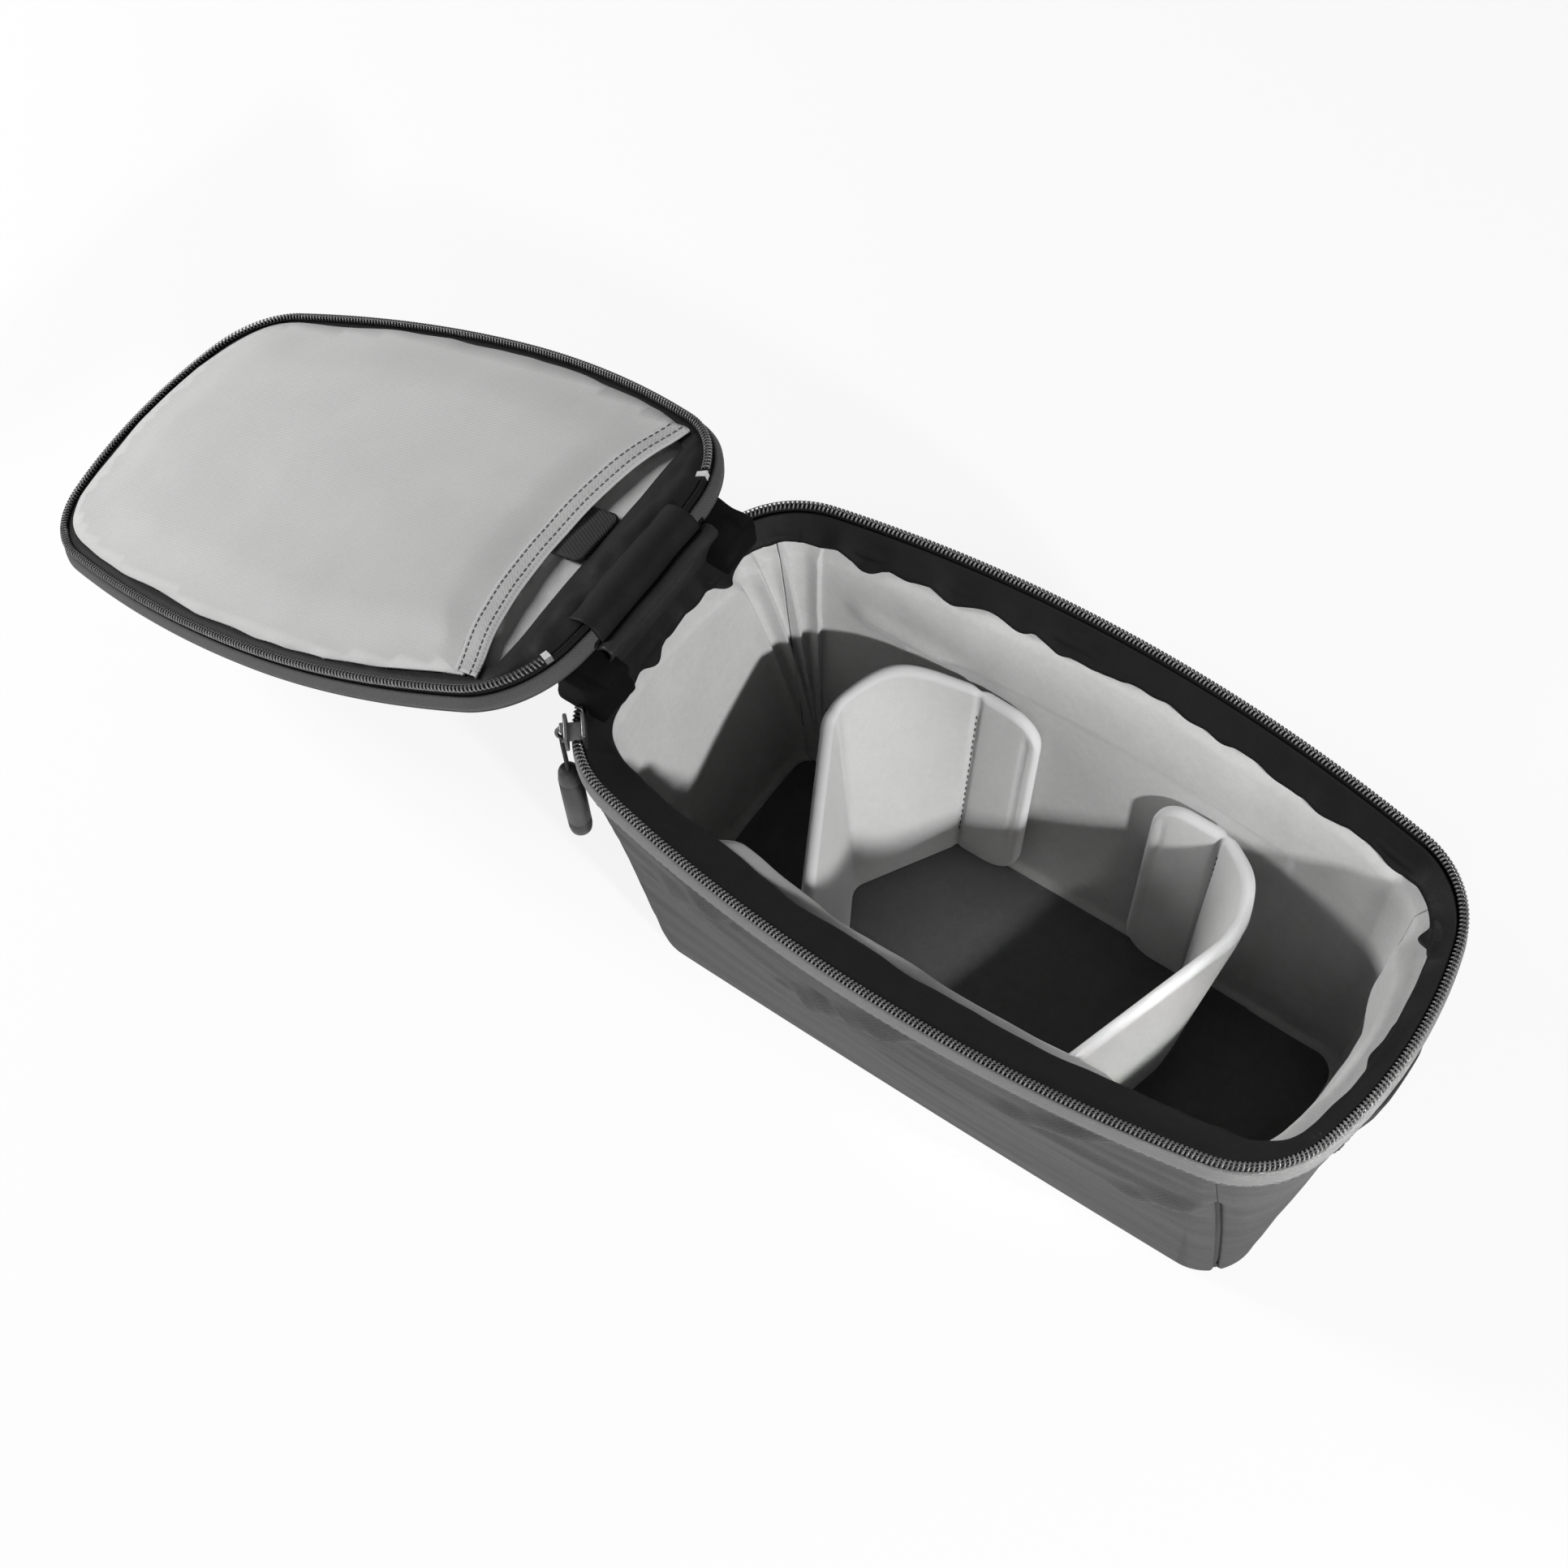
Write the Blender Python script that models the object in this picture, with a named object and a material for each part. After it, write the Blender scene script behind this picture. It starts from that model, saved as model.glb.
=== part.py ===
"""Camera bag insert: a tapered padded tub with a zipped lid, a stretch pocket and two dividers.

X runs along the tub with the lid hinge at -X, Y runs to the back and Z is up.
The origin is the middle of the underside. Lengths are in metres.
"""
import math

import bmesh
import bpy
import numpy as np
from mathutils import Vector

MM = 0.001

# Gaps
GAP = 0.3 * MM
FOLD_GAP = 0.5 * MM
SEAM_STATION_SHARE = 0.06

# Rim outline at the zip line, made of tangent arcs
RIM_HEIGHT = 142.0 * MM
RIM_CORNER_RADIUS = 37.0 * MM
RIM_FREE_HALF_LENGTH = 150.7 * MM
RIM_HINGE_HALF_LENGTH = 145.0 * MM
RIM_HALF_WIDTH = 79.2 * MM
RIM_SIDE_BOW = 11.4 * MM
RIM_FREE_BOW = 4.1 * MM
RIM_HINGE_BOW = 1.7 * MM

# Base outline
BASE_HALF_LENGTH = 125.5 * MM
BASE_HALF_WIDTH = 51.6 * MM
BASE_CORNER_RADIUS = 18.4 * MM
BASE_BOW = 0.6 * MM

# Steps of each quarter of an outline
END_STEPS = 2
CORNER_STEPS = 6
SIDE_STEPS = 5
QUARTER = END_STEPS + CORNER_STEPS + SIDE_STEPS

# Wall layers
FABRIC = 1.0 * MM
FOAM = 5.0 * MM
LINING = 0.8 * MM
BASE_FABRIC = 1.2 * MM

# Rim trim
CHAIN_THICKNESS = 3.0 * MM
CHAIN_HEIGHT = 2.4 * MM
TAPE_THICKNESS = 0.8 * MM
TAPE_DEPTH = 9.3 * MM
BAND_THICKNESS = 1.4 * MM
BAND_DEPTH = 14.0 * MM
BAND_DROP = 4.0 * MM
COLLAR_THICKNESS = 0.8 * MM
COLLAR_DEPTH = 26.0 * MM
COLLAR_SHOULDER = 8.0 * MM
COLLAR_SLOPE = 2.5 * MM
WALL_TOP_DROP = 16.0 * MM

# Lid
LID_SETBACK = 17.0 * MM
LID_CHAIN_GAP = 1.8 * MM
LID_TAPE_DEPTH = 5.3 * MM
LID_BAND_DROP = 4.0 * MM
LID_POCKET = 0.8 * MM
LID_POCKET_SPACE = 4.8 * MM
LID_FOAM = 3.7 * MM
LID_FABRIC = 1.0 * MM
LID_BORDER_INSET = 3.9 * MM
LID_BORDER_WIDTH = 4.6 * MM
LID_BORDER_HINGE_WIDTH = 13.0 * MM
POCKET_INSET = 4.4 * MM
POCKET_MOUTH_MIDDLE = 36.0 * MM
POCKET_MOUTH_SIDE = 17.5 * MM
HEM_WIDTH = 9.0 * MM
TAB_WIDTH = 23.0 * MM
TAB_LENGTH = 18.0 * MM
TAB_UNDERLAP = 4.0 * MM
TAB_THICKNESS = 1.0 * MM
TAB_Y = 7.0 * MM

# Lid hinge
HINGE_BACK = 8.3 * MM
HINGE_RISE = 12.9 * MM
HINGE_OPEN_ANGLE = math.radians(202.6)
FLAP_THICKNESS = 1.0 * MM
FLAP_DROP = 11.0 * MM
GARAGE_WIDTH = 13.0 * MM
GARAGE_CHAIN_GAP = 2.6 * MM
GARAGE_DEPTH = 8.0 * MM
GARAGE_RISE = 5.0 * MM
GARAGE_ROUND = 1.5 * MM
CHAIN_START_STEPS = 1.5
STOP_LENGTH_STEPS = 0.35
STOP_OUT = 0.4 * MM

# Zip slider and pull
SLIDER_ANGLE = math.radians(40.0)
SLIDER_LENGTH = 10.0 * MM
SLIDER_PLATE = 1.4 * MM
SLIDER_CLEARANCE = 0.8 * MM
SLIDER_OVERLAP = 3.4 * MM
SLIDER_BRIDGE = 1.0 * MM
BAIL_SIZE = 3.0 * MM
BAIL_OUT = 2.2 * MM
PULL_PIVOT_DROP = 1.4 * MM
CORD_WIDTH = 2.6 * MM
CORD_LENGTH = 19.0 * MM
CORD_THICKNESS = 1.6 * MM
TUBE_RADIUS = 4.3 * MM
TUBE_LENGTH = 42.0 * MM
TUBE_ROUND = 1.0 * MM
TUBE_SIDES = 20

# Grab loop on the free end
LOOP_HALF_SPAN = 28.0 * MM
LOOP_STAND_OFF = 9.0 * MM
LOOP_HEIGHT = 18.0 * MM
LOOP_TOP_DROP = 22.0 * MM
LOOP_THICKNESS = 1.6 * MM
LOOP_STEPS = 12
LOOP_FLAT_SHARE = 0.16

# Dividers
DIVIDER_THICKNESS = 5.0 * MM
DIVIDER_TOP = 90.0 * MM
DIVIDER_WALL_CLEARANCE = 1.8 * MM
WING_CHAMFER = 13.0 * MM
LEFT_WING_END_X = -21.0 * MM
LEFT_FOLD_X = -47.0 * MM
LEFT_BEND_TOP = (-84.0 * MM, 18.0 * MM)
LEFT_BEND_BOTTOM = (-70.0 * MM, 3.0 * MM)
LEFT_FRONT_X = -44.0 * MM
LEFT_FRONT_END_X = -20.0 * MM
RIGHT_WING_END_X = 26.0 * MM
RIGHT_FOLD_X = 54.0 * MM
RIGHT_BEND_TOP = (76.0 * MM, 24.0 * MM)
RIGHT_BEND_BOTTOM = (62.0 * MM, 6.0 * MM)
RIGHT_FRONT_X = 50.0 * MM
RIGHT_FRONT_END_X = 26.0 * MM

# Places worked out from the sizes above
FLOOR_BOTTOM = BASE_FABRIC + GAP + FOAM + GAP
FLOOR_TOP = FLOOR_BOTTOM + LINING
FABRIC_OUT = -FABRIC / 2
FABRIC_IN = FABRIC / 2
FOAM_OUT = FABRIC_IN + GAP
FOAM_IN = FOAM_OUT + FOAM
LINING_OUT = FOAM_IN + GAP
LINING_IN = LINING_OUT + LINING
COLLAR_OUT = LINING_IN + GAP
COLLAR_IN = COLLAR_OUT + COLLAR_THICKNESS
CHAIN_BOTTOM = RIM_HEIGHT - CHAIN_HEIGHT
TAPE_TOP = CHAIN_BOTTOM - GAP
TAPE_BOTTOM = TAPE_TOP - TAPE_DEPTH
WALL_TOP = TAPE_BOTTOM - GAP
PADDING_TOP = RIM_HEIGHT - WALL_TOP_DROP
BAND_IN = -FABRIC / 2 - GAP
BAND_OUT = BAND_IN - BAND_THICKNESS
LID_PLANE = RIM_HEIGHT + LID_CHAIN_GAP
LID_LINING_BOTTOM = LID_PLANE + LID_POCKET + LID_POCKET_SPACE
LID_FOAM_BOTTOM = LID_LINING_BOTTOM + LINING + GAP
LID_FABRIC_BOTTOM = LID_FOAM_BOTTOM + LID_FOAM + GAP
LID_FABRIC_TOP = LID_FABRIC_BOTTOM + LID_FABRIC
LID_HINGE_EDGE_X = -RIM_HINGE_HALF_LENGTH + LID_SETBACK
HINGE_POINT = Vector((-RIM_HINGE_HALF_LENGTH + HINGE_BACK, 0.0, RIM_HEIGHT + HINGE_RISE))


def clear_scene():
    """Remove every object that the file starts with."""
    for old in list(bpy.data.objects):
        bpy.data.objects.remove(old, do_unlink=True)


def make_material(name, colour, roughness, metallic=0.0):
    """A plain Principled material."""
    material = bpy.data.materials.new(name)
    material.use_nodes = True
    shader = material.node_tree.nodes["Principled BSDF"]
    shader.inputs["Base Color"].default_value = (*colour, 1.0)
    shader.inputs["Roughness"].default_value = roughness
    shader.inputs["Metallic"].default_value = metallic
    return material


def finish_mesh(name, bm, parts, colour, roughness=0.8, metallic=0.0, parent=None):
    """Turn a bmesh into a named part with its own material."""
    bmesh.ops.recalc_face_normals(bm, faces=bm.faces)
    mesh = bpy.data.meshes.new(name)
    bm.to_mesh(mesh)
    bm.free()
    mesh.materials.append(make_material(name, colour, roughness, metallic))
    part = bpy.data.objects.new(name, mesh)
    parts.objects.link(part)
    part.parent = parent
    return part


def make_empty(name, location, parts, parent=None):
    """A frame that moving pieces hang from."""
    empty = bpy.data.objects.new(name, None)
    empty.location = location
    empty.parent = parent
    parts.objects.link(empty)
    return empty


# Outlines


def corner_centre(half_reach, radius, bow):
    """Distance of a corner's centre from the middle, when the wall's arc stands out past it by bow."""
    return half_reach - radius - bow


def quarter_points(half_length, half_width, radius, end_bow, side_bow, inset):
    """One quarter of an outline, from the end's middle to the side's middle."""
    corner_x = corner_centre(half_length, radius, end_bow)
    corner_y = corner_centre(half_width, radius, side_bow)
    side_reach = half_width - radius
    end_reach = half_length - radius
    square = corner_x ** 2 + corner_y ** 2
    side_centre = (square - side_reach ** 2) / (2 * (side_reach - corner_y))
    end_centre = (square - end_reach ** 2) / (2 * (end_reach - corner_x))
    first = math.atan2(corner_y, corner_x + end_centre)
    last = math.atan2(corner_y + side_centre, corner_x)
    end_radius = half_length + end_centre - inset
    side_radius = half_width + side_centre - inset
    points = []
    for angle in np.linspace(0.0, first, END_STEPS + 1)[:-1]:
        points.append((end_radius * math.cos(angle) - end_centre, end_radius * math.sin(angle)))
    for angle in np.linspace(first, last, CORNER_STEPS + 1):
        points.append((corner_x + (radius - inset) * math.cos(angle),
                       corner_y + (radius - inset) * math.sin(angle)))
    for angle in np.linspace(last, math.pi / 2, SIDE_STEPS + 1)[1:]:
        points.append((side_radius * math.cos(angle), side_radius * math.sin(angle) - side_centre))
    return np.array(points)


def whole_outline(free, hinge):
    """Close an outline from its free-end quarter and its hinge-end quarter."""
    back = np.vstack([free, (hinge * (-1, 1))[::-1][1:]])
    front = (back * (1, -1))[::-1][1:-1]
    return np.vstack([back, front])


def rim_outline(inset, setback=0.0):
    """The zip line's outline, moved in by inset; setback pulls in its hinge end."""
    free = quarter_points(RIM_FREE_HALF_LENGTH, RIM_HALF_WIDTH, RIM_CORNER_RADIUS,
                          RIM_FREE_BOW, RIM_SIDE_BOW, inset)
    hinge = quarter_points(RIM_HINGE_HALF_LENGTH - setback, RIM_HALF_WIDTH, RIM_CORNER_RADIUS,
                           RIM_HINGE_BOW, RIM_SIDE_BOW, inset)
    return whole_outline(free, hinge)


def base_outline(inset):
    """The base's outline, moved in by inset."""
    quarter = quarter_points(BASE_HALF_LENGTH, BASE_HALF_WIDTH, BASE_CORNER_RADIUS,
                             BASE_BOW, BASE_BOW, inset)
    return whole_outline(quarter, quarter)


def along(outline, station):
    """A point on a closed outline at a station, which may lie between two of its points."""
    count = len(outline)
    first = math.floor(station)
    share = station - first
    return outline[first % count] * (1 - share) + outline[(first + 1) % count] * share


def wall_point(station, inset, height):
    """A point of the tub's tapering wall."""
    share = min(height / RIM_HEIGHT, 1.0)
    low = along(base_outline(inset), station)
    high = along(rim_outline(inset), station)
    place = low * (1 - share) + high * share
    return Vector((place[0], place[1], height))


def lid_point(station, inset, height):
    """A point of the lid, with the lid closed, seen from the hinge."""
    place = along(rim_outline(inset, LID_SETBACK), station)
    return Vector((place[0], place[1], height)) - HINGE_POINT


# Solids


def add_side(bm, first, second, third, fourth):
    """Two triangles whose diagonal climbs the same way on both faces of a sheet."""
    if first.co.z <= second.co.z:
        bm.faces.new((first, second, third))
        bm.faces.new((first, third, fourth))
    else:
        bm.faces.new((first, second, fourth))
        bm.faces.new((second, third, fourth))


def sweep_solid(sections, closed):
    """Join matching sections into one solid, as a ring or with capped ends."""
    bm = bmesh.new()
    rows = [[bm.verts.new(point) for point in section] for section in sections]
    pairs = list(zip(rows, rows[1:]))
    if closed:
        pairs.append((rows[-1], rows[0]))
    for row, following in pairs:
        for index in range(len(row)):
            after = (index + 1) % len(row)
            add_side(bm, row[index], row[after], following[after], following[index])
    if not closed:
        bm.faces.new(rows[0][::-1])
        bm.faces.new(rows[-1])
    return bm


def ring_solid(point, profile):
    """A ring with one profile of insets and heights all round."""
    sections = [[point(station, *corner) for corner in profile] for station in range(4 * QUARTER)]
    return sweep_solid(sections, True)


def run_solid(point, profile, first, last):
    """Part of a ring, from the first station to the last one."""
    inner = range(math.floor(first) + 1, math.ceil(last))
    stations = [first, *inner, last]
    sections = [[point(station, *corner) for corner in profile] for station in stations]
    return sweep_solid(sections, False)


def plate_solid(point, inset, low, high):
    """A filled outline between two heights."""
    sections = [[point(station, inset, height) for station in range(4 * QUARTER)]
                for height in (low, high)]
    return sweep_solid(sections, False)


def box_profile(out, into, low, high):
    """The four corners of a band's section."""
    return [(out, low), (into, low), (into, high), (out, high)]


def block_solid(centre, size, rounding):
    """A box with rounded edges."""
    bm = bmesh.new()
    bmesh.ops.create_cube(bm, size=1.0)
    bmesh.ops.scale(bm, vec=size, verts=bm.verts)
    bmesh.ops.bevel(bm, geom=bm.edges, offset=rounding, segments=2, affect="EDGES")
    bmesh.ops.translate(bm, vec=centre, verts=bm.verts)
    return bm


# Tub

SEAM_STATION = END_STEPS + CORNER_STEPS / 2
PANELS = {
    "back": (SEAM_STATION, 2 * QUARTER - SEAM_STATION),
    "hinge_end": (2 * QUARTER - SEAM_STATION, 2 * QUARTER + SEAM_STATION),
    "front": (2 * QUARTER + SEAM_STATION, 4 * QUARTER - SEAM_STATION),
    "free_end": (4 * QUARTER - SEAM_STATION, 4 * QUARTER + SEAM_STATION),
}


def make_walls(parts):
    """Four panels in each of three layers, with a seam at every corner."""
    layers = {
        "fabric": (FABRIC_OUT, FABRIC_IN, 0.0, WALL_TOP, (0.09, 0.09, 0.095)),
        "foam": (FOAM_OUT, FOAM_IN, FLOOR_BOTTOM, PADDING_TOP, (0.02, 0.02, 0.02)),
        "lining": (LINING_OUT, LINING_IN, FLOOR_BOTTOM, PADDING_TOP, (0.55, 0.55, 0.54)),
    }
    for side, (first, last) in PANELS.items():
        for layer, (out, into, low, high, colour) in layers.items():
            bm = run_solid(wall_point, box_profile(out, into, low, high),
                           first + SEAM_STATION_SHARE, last - SEAM_STATION_SHARE)
            finish_mesh(f"{side}_{layer}", bm, parts, colour)


def make_base(parts):
    """The base panel, its foam and the floor lining."""
    sheets = {
        "base_fabric": (FOAM_OUT, 0.0, BASE_FABRIC, (0.07, 0.07, 0.075)),
        "base_foam": (FOAM_OUT, BASE_FABRIC + GAP, FLOOR_BOTTOM - GAP, (0.02, 0.02, 0.02)),
        "floor_lining": (LINING_IN + GAP, FLOOR_BOTTOM, FLOOR_TOP, (0.5, 0.5, 0.49)),
    }
    for name, (inset, low, high, colour) in sheets.items():
        finish_mesh(name, plate_solid(wall_point, inset, low, high), parts, colour)


def make_rim(parts):
    """The gusset band, zip tape, zip chain and inner collar."""
    band_top = RIM_HEIGHT - BAND_DROP
    band = box_profile(BAND_OUT, BAND_IN, band_top - BAND_DEPTH, band_top)
    finish_mesh("rim_band", ring_solid(wall_point, band), parts, (0.2, 0.2, 0.2))
    zip_ends = zip_stations()
    tape = box_profile(-TAPE_THICKNESS / 2, TAPE_THICKNESS / 2, TAPE_BOTTOM, TAPE_TOP)
    finish_mesh("zip_tape", ring_solid(wall_point, tape), parts, (0.02, 0.02, 0.02))
    chain = box_profile(-CHAIN_THICKNESS / 2, CHAIN_THICKNESS / 2, CHAIN_BOTTOM, RIM_HEIGHT)
    finish_mesh("zip_chain", run_solid(wall_point, chain, *zip_ends), parts, (0.03, 0.03, 0.03), 0.4)
    outer = TAPE_THICKNESS / 2 + GAP
    inner = outer + COLLAR_THICKNESS
    top = RIM_HEIGHT - BAND_DROP
    shoulder = top - COLLAR_SHOULDER
    fall = shoulder - COLLAR_SLOPE
    bottom = RIM_HEIGHT - COLLAR_DEPTH
    collar = [(outer, top), (outer, shoulder), (COLLAR_OUT, fall), (COLLAR_OUT, bottom),
              (COLLAR_IN, bottom), (COLLAR_IN, fall + COLLAR_THICKNESS),
              (inner, shoulder + COLLAR_THICKNESS), (inner, top)]
    finish_mesh("rim_collar", ring_solid(wall_point, collar), parts, (0.012, 0.012, 0.012))


def zip_stations():
    """Where the chain starts and ends, going round from one end of the hinge to the other."""
    first = 2 * QUARTER + END_STEPS + CHAIN_START_STEPS
    last = 6 * QUARTER - END_STEPS - CHAIN_START_STEPS
    return first, last


def make_grab_loop(parts):
    """The webbing loop that stands off the free end."""
    top = RIM_HEIGHT - LOOP_TOP_DROP
    bottom = top - LOOP_HEIGHT
    sections = []
    for step in range(LOOP_STEPS + 1):
        share = 2 * step / LOOP_STEPS - 1
        rise = max(0.0, (1 - LOOP_FLAT_SHARE - abs(share)) / (1 - LOOP_FLAT_SHARE))
        lift = LOOP_STAND_OFF * math.sin(rise * math.pi / 2)
        section = []
        for height, depth in ((bottom, 0.0), (bottom, LOOP_THICKNESS), (top, LOOP_THICKNESS), (top, 0.0)):
            wall_x = end_x(0, share * LOOP_HALF_SPAN, FABRIC_OUT, height)
            section.append(Vector((wall_x + 2 * GAP + lift + depth, share * LOOP_HALF_SPAN, height)))
        sections.append(section)
    finish_mesh("grab_loop", sweep_solid(sections, False), parts, (0.05, 0.05, 0.05))


def end_x(middle, across, inset, height):
    """X of an end wall at a distance from its middle station."""
    stations = np.linspace(middle, middle + QUARTER / 2, 4 * QUARTER + 1)
    points = [wall_point(station, inset, height) for station in stations]
    return float(np.interp(abs(across), [abs(point.y) for point in points], [point.x for point in points]))


def garage_middle_y():
    """Y of the back zip garage, just past the end of the chain."""
    chain_end = along(rim_outline(0.0), zip_stations()[1])[1]
    return chain_end - GARAGE_CHAIN_GAP - GARAGE_WIDTH / 2


def flap_half_width():
    """Half the width of the hinge flap, which fills the space between the garages."""
    return garage_middle_y() - GARAGE_WIDTH / 2 - GAP


def make_hinge_fittings(parts):
    """The fixed half of the hinge flap and the zip garages."""
    foot_z = RIM_HEIGHT - FLAP_DROP
    foot_inset = TAPE_THICKNESS / 2 + COLLAR_THICKNESS + 2 * GAP
    half_width = flap_half_width()
    foot_x = end_x(2 * QUARTER, half_width, foot_inset, foot_z)
    top_z = HINGE_POINT.z - FLAP_THICKNESS
    sections = []
    for across in (-half_width, half_width):
        sections.append([Vector((foot_x, across, foot_z)),
                         Vector((foot_x + FLAP_THICKNESS, across, foot_z)),
                         Vector((HINGE_POINT.x + FLAP_THICKNESS / 2, across, top_z)),
                         Vector((HINGE_POINT.x - FLAP_THICKNESS / 2, across, top_z))])
    finish_mesh("hinge_flap", sweep_solid(sections, False), parts, (0.015, 0.015, 0.015))
    low = CHAIN_BOTTOM
    high = RIM_HEIGHT + GARAGE_RISE
    garage_y = garage_middle_y()
    for side, sign in (("front", -1), ("back", 1)):
        centre = Vector((-RIM_HINGE_HALF_LENGTH + GARAGE_DEPTH / 2, sign * garage_y, (low + high) / 2))
        size = Vector((GARAGE_DEPTH, GARAGE_WIDTH, high - low))
        finish_mesh(f"zip_garage_{side}", block_solid(centre, size, GARAGE_ROUND), parts,
                    (0.012, 0.012, 0.012))


# Lid


def make_lid(parts, lid):
    """The lid's fabric, foam, lining, zip and border."""
    band_low = LID_PLANE + LID_BAND_DROP
    rings = {
        "lid_zip_tape": (-TAPE_THICKNESS / 2, TAPE_THICKNESS / 2, LID_PLANE + CHAIN_HEIGHT + GAP,
                         LID_PLANE + CHAIN_HEIGHT + GAP + LID_TAPE_DEPTH, (0.02, 0.02, 0.02)),
        "lid_band": (BAND_OUT, BAND_IN, band_low, LID_FABRIC_BOTTOM - GAP, (0.12, 0.12, 0.12)),
    }
    for name, (out, into, low, high, colour) in rings.items():
        finish_mesh(name, ring_solid(lid_point, box_profile(out, into, low, high)), parts, colour,
                    parent=lid)
    inset = TAPE_THICKNESS / 2 + GAP
    sheets = {
        "lid_lining": (inset, LID_LINING_BOTTOM, LID_LINING_BOTTOM + LINING, (0.6, 0.6, 0.6)),
        "lid_foam": (inset, LID_FOAM_BOTTOM, LID_FOAM_BOTTOM + LID_FOAM, (0.02, 0.02, 0.02)),
        "lid_fabric": (BAND_OUT, LID_FABRIC_BOTTOM, LID_FABRIC_TOP, (0.09, 0.09, 0.095)),
    }
    for name, (inset, low, high, colour) in sheets.items():
        finish_mesh(name, plate_solid(lid_point, inset, low, high), parts, colour, parent=lid)


def make_lid_chain(parts, lid):
    """The lid's half of the zip and the metal stop at each of its ends."""
    first, last = zip_stations()
    high = LID_PLANE + CHAIN_HEIGHT
    chain = box_profile(-CHAIN_THICKNESS / 2, CHAIN_THICKNESS / 2, LID_PLANE, high)
    finish_mesh("lid_zip_chain", run_solid(lid_point, chain, first, last), parts, (0.03, 0.03, 0.03),
                0.4, parent=lid)
    stop = box_profile(-CHAIN_THICKNESS / 2 - STOP_OUT, CHAIN_THICKNESS / 2 + STOP_OUT, LID_PLANE, high)
    gap_steps = STOP_LENGTH_STEPS / 4
    for side, near, far in (("front", first - gap_steps, first - gap_steps - STOP_LENGTH_STEPS),
                            ("back", last + gap_steps, last + gap_steps + STOP_LENGTH_STEPS)):
        finish_mesh(f"lid_zip_stop_{side}", run_solid(lid_point, stop, min(near, far), max(near, far)),
                    parts, (0.5, 0.5, 0.5), 0.25, 1.0, parent=lid)


def make_lid_border(parts, lid):
    """The dark border, which widens into a band beside the hinge."""
    low = LID_PLANE + LID_POCKET + GAP
    high = LID_LINING_BOTTOM - GAP
    hinge_edge = LID_HINGE_EDGE_X + LID_BORDER_HINGE_WIDTH - HINGE_POINT.x
    sections = []
    for station in range(4 * QUARTER):
        outer = lid_point(station, LID_BORDER_INSET, low)
        inner = lid_point(station, LID_BORDER_INSET + LID_BORDER_WIDTH, low)
        inner.x = max(inner.x, hinge_edge)
        rise = Vector((0.0, 0.0, high - low))
        sections.append([outer, inner, inner + rise, outer + rise])
    finish_mesh("lid_border", sweep_solid(sections, True), parts, (0.015, 0.015, 0.015), parent=lid)


def mouth_x(across, half_width):
    """X of the pocket's mouth, a scoop that is deepest in the middle."""
    share = min(abs(across) / half_width, 1.0)
    depth = POCKET_MOUTH_SIDE + (POCKET_MOUTH_MIDDLE - POCKET_MOUTH_SIDE) * (1 - share ** 2)
    return LID_HINGE_EDGE_X + depth - HINGE_POINT.x


def make_pocket(parts, lid):
    """The stretch panel, the hem along its mouth and the tab in the middle of the hem."""
    outline = [lid_point(station, POCKET_INSET, LID_PLANE) for station in range(4 * QUARTER)]
    half_width = max(point.y for point in outline)
    middle = 2 * QUARTER
    beyond = {step for step, point in enumerate(outline)
              if point.x < mouth_x(point.y, half_width) + HEM_WIDTH + GAP}
    kept = [outline[(middle + turn) % len(outline)] for turn in range(len(outline))
            if (middle + turn) % len(outline) not in beyond]
    mouth_half = max(abs(point.y) for point in outline if point.x < mouth_x(point.y, half_width))
    steps = np.linspace(mouth_half, -mouth_half, 2 * SIDE_STEPS + 1)
    scoop = [Vector((mouth_x(across, half_width) + HEM_WIDTH + GAP, across, kept[0].z)) for across in steps]
    lift = Vector((0.0, 0.0, LID_POCKET))
    ring = kept + scoop
    finish_mesh("lid_pocket", sweep_solid([ring, [point + lift for point in ring]], False), parts,
                (0.5, 0.5, 0.5), parent=lid)
    sections = []
    for across in steps:
        start = Vector((mouth_x(across, half_width), across, kept[0].z))
        along_x = Vector((HEM_WIDTH, 0.0, 0.0))
        sections.append([start, start + along_x, start + along_x + lift, start + lift])
    finish_mesh("lid_pocket_hem", sweep_solid(sections, False), parts, (0.55, 0.55, 0.55), parent=lid)
    tab_end = mouth_x(TAB_Y, half_width) + TAB_UNDERLAP
    size = Vector((TAB_LENGTH, TAB_WIDTH, TAB_THICKNESS))
    centre = Vector((tab_end - TAB_LENGTH / 2, TAB_Y,
                     LID_PLANE + LID_POCKET + GAP + TAB_THICKNESS / 2 - HINGE_POINT.z))
    finish_mesh("lid_pocket_tab", block_solid(centre, size, TAB_THICKNESS / 4), parts,
                (0.012, 0.012, 0.012), parent=lid)


def make_lid_flap(parts, lid):
    """The moving half of the hinge flap."""
    edge_x = LID_HINGE_EDGE_X + BAND_OUT - GAP - HINGE_POINT.x
    low = LID_FABRIC_BOTTOM - HINGE_POINT.z
    size = Vector((edge_x - FLAP_THICKNESS, 2 * flap_half_width(), FLAP_THICKNESS))
    centre = Vector((edge_x - size.x / 2, 0.0, low + FLAP_THICKNESS / 2))
    finish_mesh("lid_flap", block_solid(centre, size, FLAP_THICKNESS / 4), parts,
                (0.015, 0.015, 0.015), parent=lid)


# Zip slider and pull


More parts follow.
